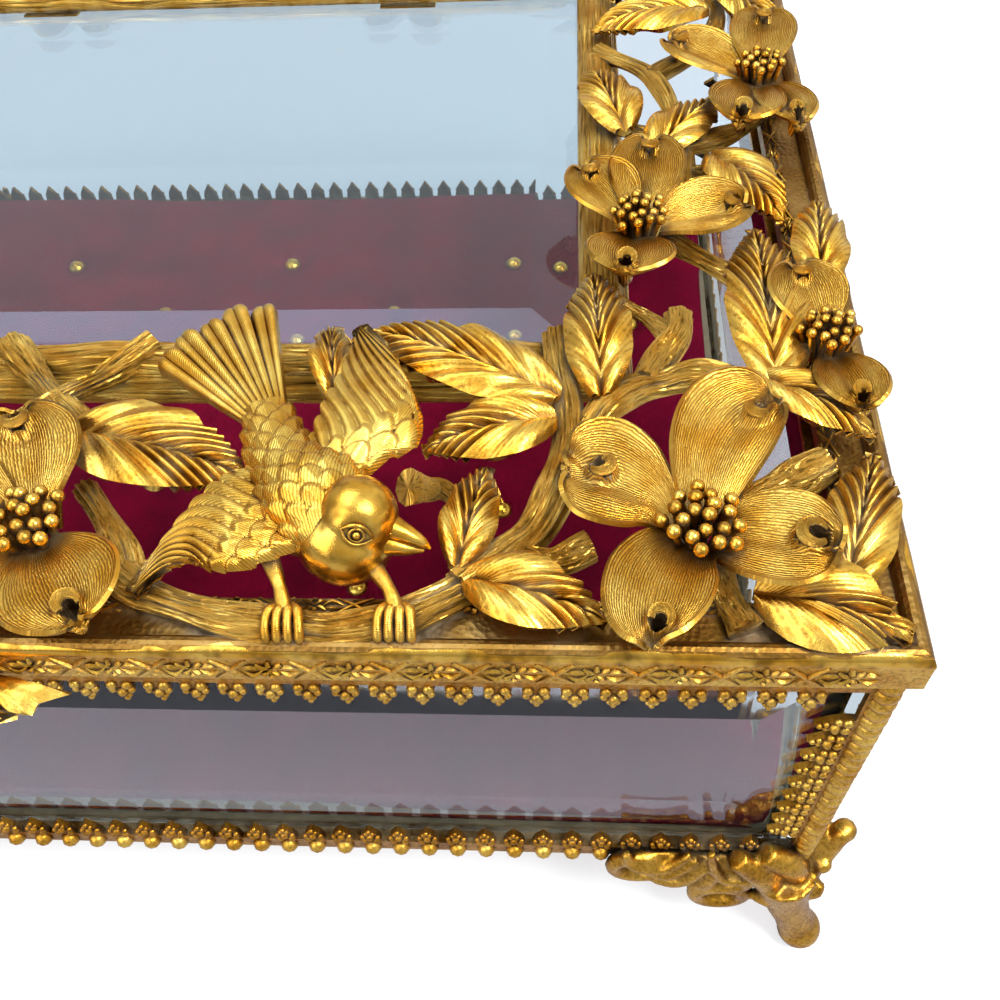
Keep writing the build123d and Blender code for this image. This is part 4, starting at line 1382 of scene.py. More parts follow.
# Places on a leaflet of the band: out from the palmette, depth, and share of its height
LEAFLET = ((0.7, 0.05, 0.1), (1.7, -0.1, 1.0), (2.7, 0.06, 0.35))


@dataclass
class LidFrame:
    """The lid's rim: a bright bead, an embossed ribbon band and a pierced trim inside the ledge."""

    finishes: Finishes
    half_x: float
    half_y: float
    band_low: float
    face_z: float = 76.0
    repeat: float = 7.62
    bead_width: float = 1.9
    bead_height: float = 1.2
    ledge: float = 5.7
    band_middle: float = 1.95

    def build(self) -> None:
        """Build the rim's pieces: the bead, and the motif round the band and on the ledge's inner edge."""
        self.beads()
        motif = self.motif()
        flat = Matrix.Rotation(-pi / 2, 4, "X") @ Matrix.Diagonal((1, 1.5, 0.5, 1))
        for side, half, out, turn in walls(self.half_x, self.half_y):
            up = shift(0, -out, self.band_low + self.band_middle)
            inside = shift(0, self.ledge - out, self.face_z + 0.05) @ flat
            for name, ends, place in (("ribbon_band", 4, up), ("ledge_trim", 14, inside)):
                count = int((2 * half - ends) / self.repeat)
                strip = repeated(motif, count, self.repeat, -self.repeat / 4, f"{name}_{side}")
                strip.data.transform(turn @ place)
                dress(strip, self.finishes[Finish.STAMPED], Body.LID, angle=None)
        bpy.data.objects.remove(motif)

    def beads(self) -> None:
        """Lay a smooth half-round bead along each edge, mitred at the corners."""
        for side, half, out, turn in walls(self.half_x, self.half_y):

            def place(s: float, t: float) -> Vector:
                """Place a corner of the bead's grid.

                Args:
                    s: 0..1 along the edge.
                    t: -1..1 over the bead.

                Returns:
                    Its place in millimetres.
                """
                angle = (t + 1) / 2 * pi * 1.16 - 0.08 * pi
                depth = self.bead_width / 2 * (1 - 1.04 * cos(angle))
                along = (2 * s - 1) * (half - depth)
                worn = 0.07 * sin(along * 0.31 + out) + 0.05 * sin(along * 0.83)
                z = self.face_z + 0.04 + (self.bead_height + worn) * sin(angle) * 1.02
                return Vector((along, depth - out, z))

            bead = carve(70, 16, place, 0.2)
            bead.data.transform(turn)
            bead.name = f"rim_bead_{side}"
            dress(bead, self.finishes[Finish.BURNISHED], Body.LID)

    def motif(self) -> Piece:
        """Model one repeat of the band: crossed ribbons, two triangles, a palmette and four leaves.

        It lies in the XZ plane, as high as the band, and faces the front.

        Returns:
            The piece.
        """
        parts = []
        cone = {"vertices": 3, "radius1": 0.66 * MM, "depth": 0.42 * MM, "scale": (1.35, 1, 0.75)}
        for sign in (1, -1):
            turn = (pi / 2, 0 if sign > 0 else pi, 0)
            place = {"location": Vector((0, 0.04, 1.34 * sign)) * MM, "rotation": turn}
            bar = [(-1.75, 0.06, -1.75 * sign), (0, -0.1, 0), (1.75, 0.06, 1.75 * sign)]
            parts.append(tube(bar, [0.2, 0.26, 0.2], sides=5, step=1.8))
            parts.append(primitive(bpy.ops.mesh.primitive_cone_add, **cone, **place))
        middle = self.repeat / 2
        for sign, reach in ((1, 1.65), (-1, 1.45)):
            for angle in (-50, 0, 50):
                x, z = middle + 0.95 * reach * sin(radians(angle)), sign * reach * cos(radians(angle))
                petal = [(middle, 0.06, 0.12 * sign), ((middle + x) / 2, -0.12, z * 0.62), (x, 0.04, z)]
                parts.append(tube(petal, [0.12, 0.34, 0.2], sides=5, step=0.9))
        for side in (1, -1):
            for z in (0.75, -0.85):
                leaf = [(middle + side * out, y, z * rise) for out, y, rise in LEAFLET]
                parts.append(tube(leaf, [0.12, 0.34, 0.12], sides=5, step=0.9))
        return smoothed(joined("motif", parts))


@dataclass
class GlassFrame:
    """The bark-covered bars that hold the lid's glass."""

    finishes: Finishes
    width: float = 4.7
    height: float = 2.1
    base_z: float = 74.7
    skirt: float = 3.0
    lap: float = 3.6

    def build(self) -> None:
        """Lay a bark bar over each side of the frame."""
        low, high = (in_mm(corner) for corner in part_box("lid_glass"))
        half_y, middle = (high.y - low.y) / 2 - self.lap, (low.y + high.y) / 2
        for number, (side, half, out, turn) in enumerate(walls(high.x - self.lap, half_y)):
            bar = self.bar(half, out, number)
            bar.data.transform(shift(0, middle, 0) @ turn)
            bar.name = f"bark_frame_{side}"
            dress(bar, self.finishes[Finish.BARK], Body.LID)

    def bar(self, half: float, out: float, seed: int) -> Piece:
        """Carve one bar, along the front, half-round on top with lengthwise bark.

        Args:
            half: half the length of its inner edge.
            out: distance of its inner edge from the middle.
            seed: which bark it gets.

        Returns:
            The piece.
        """
        chance = Random(seed + 40)
        waves = [(chance.uniform(2, 6), chance.uniform(0, 6), chance.uniform(-0.3, 0.3)) for _ in range(6)]

        def place(s: float, t: float) -> Vector:
            """Place a corner of the bar's grid.

            Args:
                s: 0..1 along the bar.
                t: -1..1 over the top, then down the outer face.

            Returns:
                Its place in millimetres.
            """
            turn = min((t + 1) / 1.4, 1.0) * pi
            fall = max(0.0, (t - 0.4) / 0.6)
            depth = self.width / 2 * (1 - cos(turn)) - 0.05
            x = (2 * s - 1) * (half + depth)
            round_it = turn + 2 * fall
            grooves = sum(abs(sin(k * round_it + phase + speed * x)) for k, phase, speed in waves)
            rough = grooves / 6 - 0.6
            knots = 0.25 * sin(0.19 * x + seed) + 0.2 * sin(0.43 * x + 2 * seed)
            over = min(1.0, 3 * sin(turn)) if fall == 0 else 0.0
            rise = self.height * sin(turn) ** 0.7 + (0.9 * rough + knots) * over
            z = self.base_z + rise - self.skirt * fall
            depth += (0.3 + 0.5 * rough + 0.5 * sin(pi * min(1.0, fall))) * min(1.0, 4 * fall)
            return Vector((x, -out - depth, z))

        return carve(150, 48, place, 0.3)


# The bird

# Its middle line from rump to neck, with half its width and its height there
TRUNK = [
    (24.8, -42.5, 79.4),
    (26.4, -46.8, 79.8),
    (28.6, -51.0, 80.3),
    (31.6, -54.6, 80.6),
    (35.4, -58.2, 80.6),
]
TRUNK_WIDTHS, TRUNK_HEIGHTS = (2.3, 3.0, 3.7, 5.2, 4.6), (1.9, 2.7, 3.5, 4.7, 4.5)
# Each wing: its front edge, its rear edge, the grid's side of the front edge, and its heights
WINGS = (
    (
        [
            *((35.4, -54.2), (38.6, -51.2), (41.4, -49.3), (41.8, -45.8)),
            *((40.6, -41.9), (38.9, -38), (36.7, -34.6), (33.9, -31.8)),
        ],
        [
            *((30.2, -52.4), (30.6, -48.9), (31.2, -45.7), (31.6, -43)),
            *((32.2, -40.2), (32.8, -37), (33.2, -34), (33.4, -31.9)),
        ],
        -1,
        (80.9, 81.5, 81.6, 81.2, 80.8, 80.5),
    ),
    (
        [
            *((32.0, -60.6), (29.8, -61.8), (27.6, -62.9), (25.4, -63.5)),
            *((23.2, -63.1), (21, -61.9), (18.6, -62.3), (16.0, -64.9)),
        ],
        [
            *((29.4, -54.0), (26.6, -51.9), (24, -52.1), (22, -53.1)),
            *((20.2, -55.1), (18.5, -57.8), (17, -60.6), (15.7, -64.7)),
        ],
        1,
        (80.4, 80.7, 80.7, 80.2, 79.4, 78.4),
    ),
)
TAIL_REACHES = (16.5, 17.2, 17.0, 18.2, 17.7)
UPPER_BEAK = [(39.2, -58.6, 81.9), (41.0, -59.2, 81.5), (42.6, -59.7, 80.8), (43.5, -60.0, 80.1)]
LOWER_BEAK = [(39.2, -59.7, 80.6), (41.2, -60.1, 80.3), (42.9, -60.1, 79.9)]
EYELID = [
    *((-1.5, 0.05, -0.3), (-0.8, 0.75, -0.1), (0.05, 1.0, -0.02)),
    *((0.95, 0.66, -0.12), (1.6, -0.05, -0.34)),
]
LEGS = (
    ((28.2, -60.8, 79.6), (29.6, -63.8, 79.3), (30.4, -66.2, 78.9)),
    ((37.8, -61.0, 78.8), (39.8, -63.8, 79.2), (40.7, -66.0, 78.9)),
)
# A toe from its foot: share of its spread, then forward and up
TOE = ((0.5, 0.6, -0.1), (1.0, -0.3, 0.45), (1.15, -1.4, 0.2), (1.15, -2.3, -0.9), (1.05, -2.4, -1.9))


@dataclass
class Songbird:
    """A small bird perched on the branch, wings half open and tail spread."""

    finishes: Finishes
    crown: Place = (36.78, -58.0, 82.6)
    breast: Place = (35.25, -58.5, 79.9)
    crown_radius: float = 3.85
    breast_radius: float = 4.85
    nostril: Place = (40.0, -59.9, 82.3)
    eye_direction: Place = (0.14, -0.905, 0.405)
    beak_direction: Place = (0.93, -0.2, -0.35)
    flat_level: float = 76.9
    voxel: float = 0.26

    def build(self) -> None:
        """Build the bird in the right half and its mirror image in the left half."""
        plumage = [self.back(), *(self.wing(*wing) for wing in WINGS), self.tail()]
        parts = (
            ("plain", self.head(), Finish.BURNISHED, 50),
            ("plumage", joined("plumage", plumage), Finish.FEATHER, 65),
            ("claws", self.legs(), Finish.LEAF, 60),
        )
        for part, piece, finish, angle in parts:
            piece.name = f"songbird_{part}_right"
            twin = copied(piece, MIRRORED, f"songbird_{part}_left")
            for side, one in (("right", piece), ("left", twin)):
                replaced = [f"bird_{side}"] if part == "plain" else []
                dress(one, self.finishes[finish], Body.LID, *replaced, angle=angle)

    def head(self) -> Piece:
        """Model the smooth head and breast as one egg, with beak and eye, flat underneath as the casting is.

        Returns:
            The piece.
        """
        crown, outward = Vector(self.crown), Vector(self.eye_direction).normalized()
        socket = crown + outward * self.crown_radius
        balls = ((crown, self.crown_radius), (self.breast, self.breast_radius))
        egg = joined("egg", [ball(centre, radius, 36, 24) for centre, radius in balls])
        modify(egg, "REMESH", mode="VOXEL", voxel_size=self.voxel * MM)
        modify(egg, "SMOOTH", factor=0.6, iterations=6)
        for vertex in egg.data.vertices:
            away = (vertex.co / MM - socket).length
            vertex.co -= outward * (0.4 * exp(-((away / 1.5) ** 2)) * MM)
        parts = [egg, tube(UPPER_BEAK, [1.5, 1.05, 0.65, 0.16], 0, 18, 0.3)]
        parts.append(tube(LOWER_BEAK, [1.3, 0.75, 0.2], 0, 16, 0.3))
        parts += [ball(self.nostril, 0.22, 8, 6), self.eye(socket - outward * 0.12, outward)]
        return sliced(joined("songbird", parts), (0, 0, self.flat_level), (0, 0, -1))

    def eye(self, centre: Vector, outward: Vector) -> Piece:
        """Model an eye: a domed pupil in a ring, between two lids that meet towards the beak.

        Args:
            centre: the eye's middle on the head.
            outward: the direction it looks.

        Returns:
            The piece.
        """
        ahead = Vector(self.beak_direction)
        ahead = (ahead - outward * ahead.dot(outward)).normalized()
        turn = Matrix((ahead, outward.cross(ahead), outward)).transposed().to_4x4()
        parts = [ball((0, 0, 0.02), 0.4, 14, 8, (1, 1, 0.8)), ring((0, 0, 0), 0.68, 0.13)]
        for sign in (1, -1):
            inner = [(x, y * sign, z) for x, y, z in EYELID[1:-1]]
            lid = [EYELID[0], *inner, EYELID[-1]]
            parts.append(tube(lid, [0.1, 0.19, 0.22, 0.18, 0.1], sides=8, step=0.25))
        eye = joined("eye", parts)
        eye.data.transform(shift(*centre) @ turn)
        return eye

    def back(self) -> Piece:
        """Carve the trunk from rump to neck, covered in overlapping scale-like feathers.

        Returns:
            The piece.
        """
        line = [Vector(p) for p in TRUNK]
        length = path_length(line)

        def place(s: float, t: float) -> Vector:
            """Place a corner of the trunk's grid.

            Args:
                s: 0..1 from rump to neck.
                t: -1..1 from its right side over the back.

            Returns:
                Its place in millimetres.
            """
            centre, along = on_curve(line, s)
            beside = Vector((-along.y, along.x, 0)).normalized()
            width, high = spread(TRUNK_WIDTHS, s), spread(TRUNK_HEIGHTS, s)
            angle = t * radians(112)
            spot = centre + beside * (width * sin(angle)) + Vector((0, 0, high * cos(angle)))
            normal = (beside * (sin(angle) / width) + Vector((0, 0, cos(angle) / high))).normalized()
            fade, across = min(1.0, (1 - s) / 0.12), angle * (width + high) / 2
            return spot + normal * (fade * scales((1 - s) * length, across, 1.7, 2.3, 0.72))

        return carve(130, 90, place, 0.6)

    def wing(
        self, leading: Sequence[Point], trailing: Sequence[Point], lead: int, levels: Sequence[float]
    ) -> Piece:
        """Carve a wing from shoulder to tip, with scale-like coverts and long flight feathers.

        Args:
            leading: its front edge.
            trailing: its rear edge.
            lead: side of the grid on which the front edge lies, -1 or 1.
            levels: heights from shoulder to tip.

        Returns:
            The piece.
        """
        ahead, behind = flat_curve(leading), flat_curve(trailing)
        first, second = (ahead, behind) if lead < 0 else (behind, ahead)
        length = path_length(behind)

        def place(s: float, t: float) -> Vector:
            """Place a corner of the wing's grid.

            Args:
                s: 0..1 from shoulder to tip.
                t: -1..1 across.

            Returns:
                Its place in millimetres.
            """
            front = (t * lead + 1) / 2
            width = (on_curve(first, s)[0] - on_curve(second, s)[0]).length
            groove = abs(sin(pi * (9.5 * s + 5.5 * front))) ** 0.5
            blend = min(1.0, max(0.0, (s * 0.9 + (1 - front) * 0.6 - 0.5) / 0.08))
            bend = 0.08 * (groove - 0.5) * (1 - front) ** 2 * blend
            spot = between(first, second, s, t - lead * bend)
            coverts = scales(s * length, t * width / 2, 2.1, 2.9, 0.85)
            relief = coverts * (1 - blend) + 0.5 * groove * blend
            arch = (1.7 - 0.8 * s) * sin(pi * (0.1 + 0.72 * front)) ** 0.8
            edge = 1 - (1 - min(1.0, (1 - front) / 0.08)) ** 2
            spot.z = spread(levels, s) + arch + relief - 0.9 * (1 - edge)
            return spot

        return carve(130, 64, place, 0.8)

    def tail(self) -> Piece:
        """Carve the fanned tail: five broad feathers, each with two ridges.

        Returns:
            The piece.
        """
        hub = Vector((25.3, -44.1, 0))
        base_right, base_left = Vector((27.2, -43.2, 0)), Vector((23.2, -44.9, 0))
        count = len(TAIL_REACHES)

        def place(s: float, t: float) -> Vector:
            """Place a corner of the tail's grid.

            Args:
                s: 0..1 from its base to the tips.
                t: -1..1 from its right edge to its left edge.

            Returns:
                Its place in millimetres.
            """
            fan = (1 - t) / 2
            feather = min(int(fan * count), count - 1)
            inside = fan * count - feather
            reach = TAIL_REACHES[feather] * (1 - 0.055 * abs(2 * inside - 1) ** 2.5)
            angle = radians(151.0 - 54.4 * fan)
            tip = hub + Vector((cos(angle), sin(angle), 0)) * reach
            spot = base_right.lerp(base_left, (t + 1) / 2).lerp(tip, s)
            ridge = abs(sin(pi * 2 * count * fan)) ** 0.6
            edge = 0.7 * exp(-((min(fan, 1 - fan) / 0.014) ** 2)) + 0.6 * max(0.0, (s - 0.93) / 0.07) ** 2
            spot.z = 80.5 + 0.6 * sin(pi * fan) + 0.36 * ridge * min(1.0, 0.35 + s)
            spot.z += 0.95 * inside * s - 0.5 * s - edge
            return spot

        return carve(30, 180, place, 0.8)

    def legs(self) -> Piece:
        """Model the legs and the toes that grip the branch.

        Returns:
            The piece.
        """
        parts = []
        for leg in LEGS:
            parts.append(tube(leg, [0.95, 0.62, 0.85], 0.2, 14, 0.4))
            x, y, z = leg[-1]
            for apart in (-1.35, -0.45, 0.45, 1.35):
                toe = [(x + apart * out, y + forward, z + rise) for out, forward, rise in TOE]
                parts.append(tube(toe, [0.42, 0.52, 0.44, 0.52, 0.18], 0.05, 10, 0.3, seed=3))
        return joined("claws", parts)


# Feet and cushion

# A foot's rods: places, radii, no bark, sides and step
LEG = (
    [(85.2, -69.3, 18.5), (86.2, -70.3, 12.5), (87.9, -71.4, 7.2), (89.3, -72.1, 3.3)],
    [4.4, 3.2, 2.6, 2.7],
    *(0, 24, 0.7),
)
KNOT = ([(81.9, -71.0, 13.2), (83.6, -71.6, 13.6), (85.3, -71.9, 13.1)], [0.9, 1.25, 0.9], 0, 14, 0.5)
EAR = (
    [(88.2, -68.4, 14), (90.2, -67.6, 19), (91.6, -66.7, 23.6), (92.3, -65.9, 25.0)],
    [2.2, 1.4, 1.25, 1.4],
    *(0, 16, 0.6),
)
SPUR = ([(88.6, -69.8, 13.2), (89.9, -70.5, 13.8), (90.6, -70.0, 15.4)], [1.5, 1.2, 0.7], 0, 12, 0.5)
# Its wing's shell lobes: place and two radii
LOBES = (((-21.7, -1.3, 19.7), 3.3, 1.15), ((-10.3, -2.2, 12.4), 3.2, 1.3))
SCROLL = [
    *((-12.9, -1.7, 26.6), (-12.1, -2.4, 22.4), (-10.4, -2.7, 19.2), (-8.4, -2.8, 19.2)),
    *((-7.3, -2.8, 17.7), (-8.2, -2.8, 16.2), (-9.3, -2.7, 16.8)),
]
# Its wing's ribs: places and radius
RIBS = (
    ([(-23.6, -1.6, 25.4), (-22.4, -2.3, 22.6), (-18.6, -2.4, 21.9), (-15.2, -1.6, 25.4)], 0.8),
    ([(-21.0, -2.0, 20.2), (-17.6, -2.3, 19.6), (-14.2, -1.6, 23.6)], 0.85),
    ([(-19.4, -1.8, 16.4), (-16.0, -2.2, 17.2), (-13.0, -1.8, 21.4)], 1.1),
    ([(-14.4, -1.6, 13.6), (-12.6, -2.2, 16.6), (-11.6, -2.2, 19.4)], 1.1),
    (SCROLL, 0.75),
    ([(-9.5, -1.8, 25.0), (-5.4, -2.4, 20.4), (-3.8, -2.6, 15.0)], 1.9),
    ([(-6.0, -1.2, 25.5), (-2.0, -1.4, 22.0), (-0.6, -1.0, 16.0)], 2.0),
)
PLATE = [(-0.5, 0, 19.6), (-6, 0, 19.2), (-12, 0, 18.6), (-17, 0, 20.6), (-22, 0, 21.4)]


@dataclass
class ScrollFoot:
    """A cast foot: shell lobes and a scroll under the walls, a stout leg to a round toe, and a curled ear."""

    finishes: Finishes
    corner: Point = (87.6, 68.3)
    voxel: float = 0.36

    def build(self) -> None:
        """Model the front right foot and carry copies to the other corners."""
        foot = self.model()
        for corner, (sx, sy) in CORNERS.items():
            one = copied(foot, Matrix.Diagonal((sx, -sy, 1, 1)), f"scroll_foot_{corner}")
            dress(one, self.finishes[Finish.FOOT], Body.CASKET, f"foot_{corner}")
        bpy.data.objects.remove(foot)

    def model(self) -> Piece:
        """Model the front right foot from rods, rings and balls that melt together.

        Returns:
            The piece.
        """
        wing = self.wing()
        twin = copied(wing, Matrix.Rotation(pi / 2, 4, "Z") @ MIRRORED)
        for one in (wing, twin):
            one.data.transform(shift(self.corner[0], -self.corner[1], 0))
        parts = [wing, twin, tube(*LEG), ball((89.5, -72.2, 3.0), 3.05, 28, 18), tube(*KNOT), tube(*EAR)]
        parts += [ball((92.5, -65.8, 24.3), 1.6), tube(*SPUR), ball((90.0, -69.0, 20.3), 1.25)]
        foot = joined("foot", parts)
        modify(foot, "REMESH", mode="VOXEL", voxel_size=self.voxel * MM)
        modify(foot, "SMOOTH", factor=0.5, iterations=3)
        modify(foot, "DECIMATE", ratio=0.5)
        return sliced(foot, (0, 0, 0), (0, 0, -1))

    def wing(self) -> Piece:
        """Model the front wing in its own place: X from the corner inwards is negative, Z is height.

        Returns:
            The piece.
        """
        parts = []
        for (x, y, z), major, minor in LOBES:
            parts.append(ring((x, y, z), major, minor, pi / 2))
            parts.append(tube([(x, y + 1.6, z), (x, y + 0.3, z)], [major, major], 0, 20, 1.0))
        for number, (rib, radius) in enumerate(RIBS):
            parts.append(tube(rib, [radius * 0.8, radius, radius, radius * 0.75], 0, 12, 0.6, seed=number))
        plate = tube(PLATE, [4.6, 4.8, 5.0, 3.4, 2.6], 0, 16, 1.0)
        plate.data.transform(shift(0, -0.9, 0) @ Matrix.Diagonal((1, 0.26, 1, 1)))
        return joined("wing", [*parts, plate])


@dataclass
class VelvetPad:
    """The buttoned pad: a crowned velvet cover over filling, pulled down under every stud."""

    finishes: Finishes
    voxel: float = 1.1
    swell: float = 4.0
    frames: int = 20
    rise_limit: float = 0.45
    rim_lift: float = 1.8
    rim_width: float = 12.0
    stud_reach: float = 5.0
    held_reach: float = 2.4
    held_height: float = 0.6

    def build(self) -> None:
        """Copy the pad's solid, let it swell as cloth between its studs, and dress it."""
        pad = copied(bpy.data.objects["cushion"], Matrix.Identity(4), "velvet_pad")
        pad.parent = None
        for key in list(pad.keys()):
            del pad[key]
        edit(pad, (bpy.ops.mesh.remove_doubles, {"threshold": MERGE_M}))
        modify(pad, "REMESH", mode="VOXEL", voxel_size=self.voxel * MM)
        self.fill_rim(pad, *(in_mm(corner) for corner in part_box("cushion")))
        self.simulate(pad)
        modify(pad, "SUBSURF", levels=1, render_levels=1)
        dress(pad, self.finishes[Finish.VELVET], Body.CASKET, "cushion", slot="crimson_velvet")

    def fill_rim(self, pad: Piece, low: Vector, high: Vector) -> None:
        """Raise the pad's upper side towards the walls, where the filling is packed against the glass.

        Args:
            pad: the pad.
            low: lowest corner of its solid, in millimetres.
            high: highest corner.
        """
        for vertex in pad.data.vertices:
            x, y, z = vertex.co / MM
            from_wall = min(x - low.x, high.x - x, y - low.y, high.y - y)
            near = 1 - min(1.0, max(0.0, from_wall) / self.rim_width)
            upper = min(1.0, max(0.0, (z - low.z - 0.4) / 1.4))
            vertex.co.z += self.rim_lift * near**1.3 * upper * MM

    def simulate(self, pad: Piece) -> None:
        """Blow the pad up as cloth, held at its studs and its underside.

        Args:
            pad: the pad.
        """
        rest = [v.co.copy() for v in pad.data.vertices]
        studs = self.stud_places()
        low = min(v.z for v in rest)
        group = pad.vertex_groups.new(name="held")
        for vertex in pad.data.vertices:
            near = min((vertex.co.xy - s).length for s in studs)
            if vertex.co.z < low + self.held_height * MM or near < self.held_reach * MM:
                group.add([vertex.index], 1.0, "REPLACE")
        bpy.context.view_layer.objects.active = pad
        bpy.ops.object.modifier_add(type="CLOTH")
        cloth = pad.modifiers[-1]
        cloth.settings.use_pressure = True
        cloth.settings.uniform_pressure_force = self.swell
        cloth.settings.effector_weights.gravity = 0
        cloth.settings.vertex_group_mass = group.name
        scene = bpy.context.scene
        for frame in range(1, self.frames + 1):
            scene.frame_set(frame)
        bpy.ops.object.modifier_apply(modifier=cloth.name)
        scene.frame_set(1)
        cap = self.rise_limit * MM
        for vertex, start in zip(pad.data.vertices, rest):
            step = vertex.co - start
            if step.length > cap:
                vertex.co = start + step.normalized() * cap

    def stud_places(self) -> list[Vector]:
        """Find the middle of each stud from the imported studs' mesh.

        Returns:
            Plan places in metres.
        """
        corners = [v.co.xy for v in bpy.data.objects["cushion_studs"].data.vertices]
        starts: list[Vector] = []
        for corner in corners:
            if all((start - corner).length >= self.stud_reach * MM for start in starts):
                starts.append(corner)
        places = []
        for start in starts:
            members = [corner for corner in corners if (corner - start).length < self.stud_reach * MM]
            count = len(members)
            places.append(Vector((sum(c.x for c in members) / count, sum(c.y for c in members) / count)))
        return places


@dataclass
class ThumbLeaf:
    """The ribbed leaf at the front by which the lid is lifted."""

    finishes: Finishes

    def build(self) -> None:
        """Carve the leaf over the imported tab's place."""
        low, high = (in_mm(corner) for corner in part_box("thumb_tab"))
        middle = (low.x + high.x) / 2
        base, tip, width = (middle, high.y), (middle, low.y - 0.2), high.x - low.x
        leaf = Leaf(base, tip, width, low.z, 0.5, rib=0.45, wall=1.0).build()
        leaf.name = "ribbed_thumb_leaf"
        dress(leaf, self.finishes[Finish.LEAF], Body.LID, "thumb_tab", angle=55)


# Studio

# Each lamp: its name, its place and size in metres, and its power in watts
LAMPS = (("key_lamp", (0.42, -0.22, 0.7), 0.32, 6.8), ("fill_lamp", (-0.5, -0.5, 0.55), 0.8, 4.2))


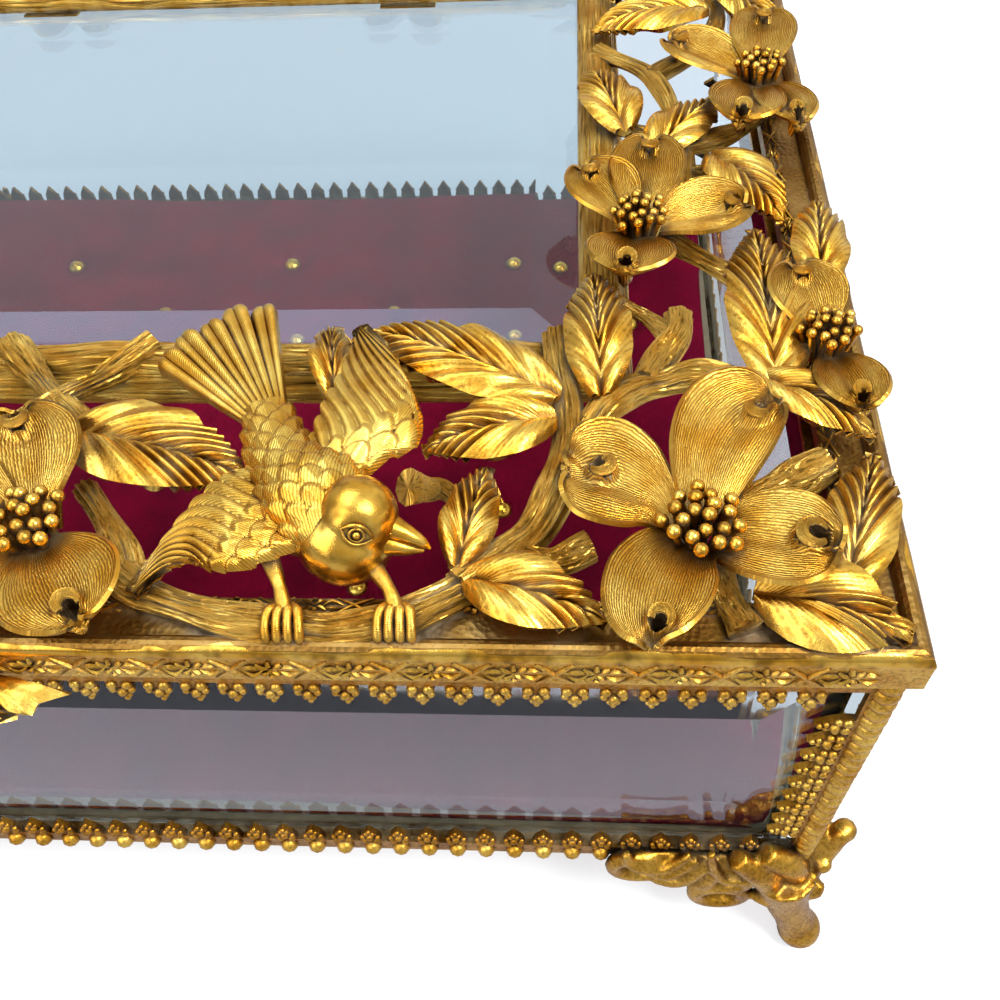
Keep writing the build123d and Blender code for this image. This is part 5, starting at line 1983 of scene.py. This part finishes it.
@dataclass
class Studio:
    """A pale sweep, a white surround and soft lamps, with the camera at the photo's place."""

    place: Place = (56.300, -114.985, 160.967)
    yaw: float = -6.08864
    pitch: float = 52.94942
    roll: float = 4.62674
    focal_pixels: float = 1047.419
    frame_pixels: float = 1000.0
    sensor: float = 36.0
    window: Place = (0.35, 0.3, 0.85)
    skylight: Place = (-0.3, 0.2, 0.93)
    ambient: float = 0.7
    floor_glow: float = 0.5
    floor_size: float = 8.0
    lamps_aim: Place = (0.02, -0.01, 0.06)

    def build(self) -> None:
        """Set up camera, floor, surround and lamps."""
        bpy.context.scene.view_settings.view_transform = "Standard"
        self.camera()
        self.floor()
        self.surround()
        self.lamps()

    def camera(self) -> None:
        """Place the camera by its yaw, its pitch down and its roll."""
        yaw, pitch, roll = radians(self.yaw), radians(self.pitch), radians(self.roll)
        ahead = Vector((sin(yaw) * cos(pitch), cos(yaw) * cos(pitch), -sin(pitch)))
        right = Vector((cos(yaw), -sin(yaw), 0))
        down = ahead.cross(right)
        turned_right = right * cos(roll) + down * sin(roll)
        up = right * sin(roll) - down * cos(roll)
        select_only()
        bpy.ops.object.camera_add()
        camera = bpy.context.object
        camera.name = "photo_camera"
        camera.matrix_world = shift(*self.place) @ Matrix((turned_right, up, -ahead)).transposed().to_4x4()
        camera.data.sensor_width = self.sensor
        camera.data.lens = self.focal_pixels / self.frame_pixels * self.sensor
        camera.data.clip_start = 0.005
        camera.data.clip_end = 20
        bpy.context.scene.camera = camera

    def seen(self, nodes: Nodes) -> Socket:
        """Find whether a ray comes from the camera, straight or through glass."""
        rays = [nodes.add("LightPath", out=kind) for kind in ("Is Camera Ray", "Is Transmission Ray")]
        return nodes.add("Math", rays, **MOST)

    def floor(self) -> None:
        """Lay the pale floor, which takes the casket's shadow."""
        floor = primitive(bpy.ops.mesh.primitive_plane_add, size=self.floor_size)
        floor.name = "studio_floor"
        nodes = Nodes(bpy.data.materials.new("paper, white matt"))
        add, seen = nodes.add, self.seen(nodes)
        # Painted reflection: glossy rays see the paper a darker grey than the camera does, so the metal and
        # the steep front pane mirror it as pale grey, as they do in the photo
        reflection_greys = {0: add("LightPath", out="Is Glossy Ray"), 6: linear("#CCCCCE"), 7: linear("#A6A6AE")}
        paper = add("BsdfDiffuse", {"Color": add("Mix", reflection_greys, MIXED, **COLOURS)})
        # Beyond the lamps' reach the paper runs out into the white surround
        away = add("VectorMath", [add("TexCoord", out="Object")], "Value", operation="LENGTH")
        strength = add("Math", [seen, add("MapRange", [away, 0.2, 0.8, self.floor_glow, 1.0])], **TIMES)
        glow = add("Emission", {"Color": WHITE, "Strength": strength})
        add("OutputMaterial", [add("AddShader", [paper, glow])])
        floor.data.materials.append(nodes.owner)

    def surround(self) -> None:
        """Make the world: white to the camera and through glass, and a soft room for the metal."""
        bpy.context.scene.world = bpy.data.worlds.new("studio")
        nodes = Nodes(bpy.context.scene.world)
        add, seen, mirrored = nodes.add, self.seen(nodes), nodes.add("LightPath", out="Is Glossy Ray")
        direction = add("TexCoord", out="Generated")
        height = add("SeparateXYZ", [direction], "Z")
        aims = [Vector(aim).normalized() for aim in (self.window, self.skylight)]
        facing = add("VectorMath", [direction, aims[0]], "Value", operation="DOT_PRODUCT")
        above = add("VectorMath", [direction, aims[1]], "Value", operation="DOT_PRODUCT")
        walls_light = [
            add("MapRange", [height, 0.0, 1.0, 0.85, 0.5]),
            add("MapRange", [facing, -0.5, 0.95, 0.35, 1.7]),
        ]
        pane = add("MapRange", [above, 0.88, 0.96, 0.0, 4.6])
        room = add("Math", [add("Math", walls_light, **TIMES), pane], **PLUS)
        glossy = add("Math", [mirrored, room], **TIMES)
        other = add("Math", [add("Math", [1.0, mirrored], **MINUS), self.ambient], **TIMES)
        light = add("Math", [seen, add("Math", [glossy, other], **PLUS)], **MOST)
        skies = {0: add("MapRange", [above, 0.88, 0.96]), 6: linear("#EEF3FA"), 7: linear("#C8DCFF")}
        tones = {0: seen, 6: add("Mix", skies, MIXED, **COLOURS), 7: WHITE}
        tone = add("Mix", tones, MIXED, **COLOURS)
        add("OutputWorld", [add("Background", {"Color": tone, "Strength": light})])

    def lamps(self) -> None:
        """Hang a broad key lamp and a fill."""
        for name, place, size, power in LAMPS:
            select_only()
            bpy.ops.object.light_add(type="AREA", location=place)
            lamp = bpy.context.object
            lamp.name = name
            lamp.data.size = size
            lamp.data.energy = power
            aim = Vector(self.lamps_aim) - Vector(place)
            lamp.rotation_euler = aim.to_track_quat("-Z", "Y").to_euler()


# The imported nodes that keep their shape, by the start of their names, and their finishes
PACKED = {
    "glass_": Finish.GLASS,
    "lid_glass": Finish.GLASS,
    "glass_frame": Finish.STIPPLE,
    "glass_clips": Finish.STAMPED,
    "lid_rail": Finish.STIPPLE,
    "lid_band": Finish.STAMPED,
    "cushion_board": Finish.BOARD,
    "cushion_studs": Finish.BURNISHED,
    "hinge": Finish.STAMPED,
}


@dataclass
class PackedPieces:
    """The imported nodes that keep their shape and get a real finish."""

    finishes: Finishes
    nodes: dict[str, Piece]

    def build(self) -> None:
        """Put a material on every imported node."""
        for name, node in self.nodes.items():
            starts = [start for start in PACKED if name.startswith(start)]
            # Nodes without a finish of their own take the darker copy of the gilt brass: painted shade
            finish = PACKED[max(starts, key=len)] if starts else Finish.DARK
            node.data.materials.clear()
            node.data.materials.append(self.finishes[finish])


def main() -> None:
    """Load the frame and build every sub-assembly in order."""
    logging.basicConfig(level=logging.INFO, format="%(name)s: %(message)s")
    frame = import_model()
    select_only()
    finishes = {finish: finish.value.make() for finish in Finish}
    PackedPieces(finishes, frame["nodes"]).build()
    Studio().build()
    rail_low, rail_high = (in_mm(corner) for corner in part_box("lid_rail_front"))
    band_low = in_mm(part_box("lid_band_front")[0])
    LidFrame(finishes, rail_high.x, -rail_low.y, band_low.z).build()
    GlassFrame(finishes).build()
    Openwork(finishes).build()
    Songbird(finishes).build()
    wall_low = in_mm(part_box("gallery_bottom_front")[0])
    side_high = in_mm(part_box("gallery_top_right")[1])
    post_high = in_mm(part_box("corner_post_front_right")[1])
    HeartEdging(finishes, side_high.x, -wall_low.y, wall_low.z, post_high.z).build()
    ScrollFoot(finishes).build()
    ThumbLeaf(finishes).build()
    VelvetPad(finishes).build()


if __name__ == "__main__":
    main()
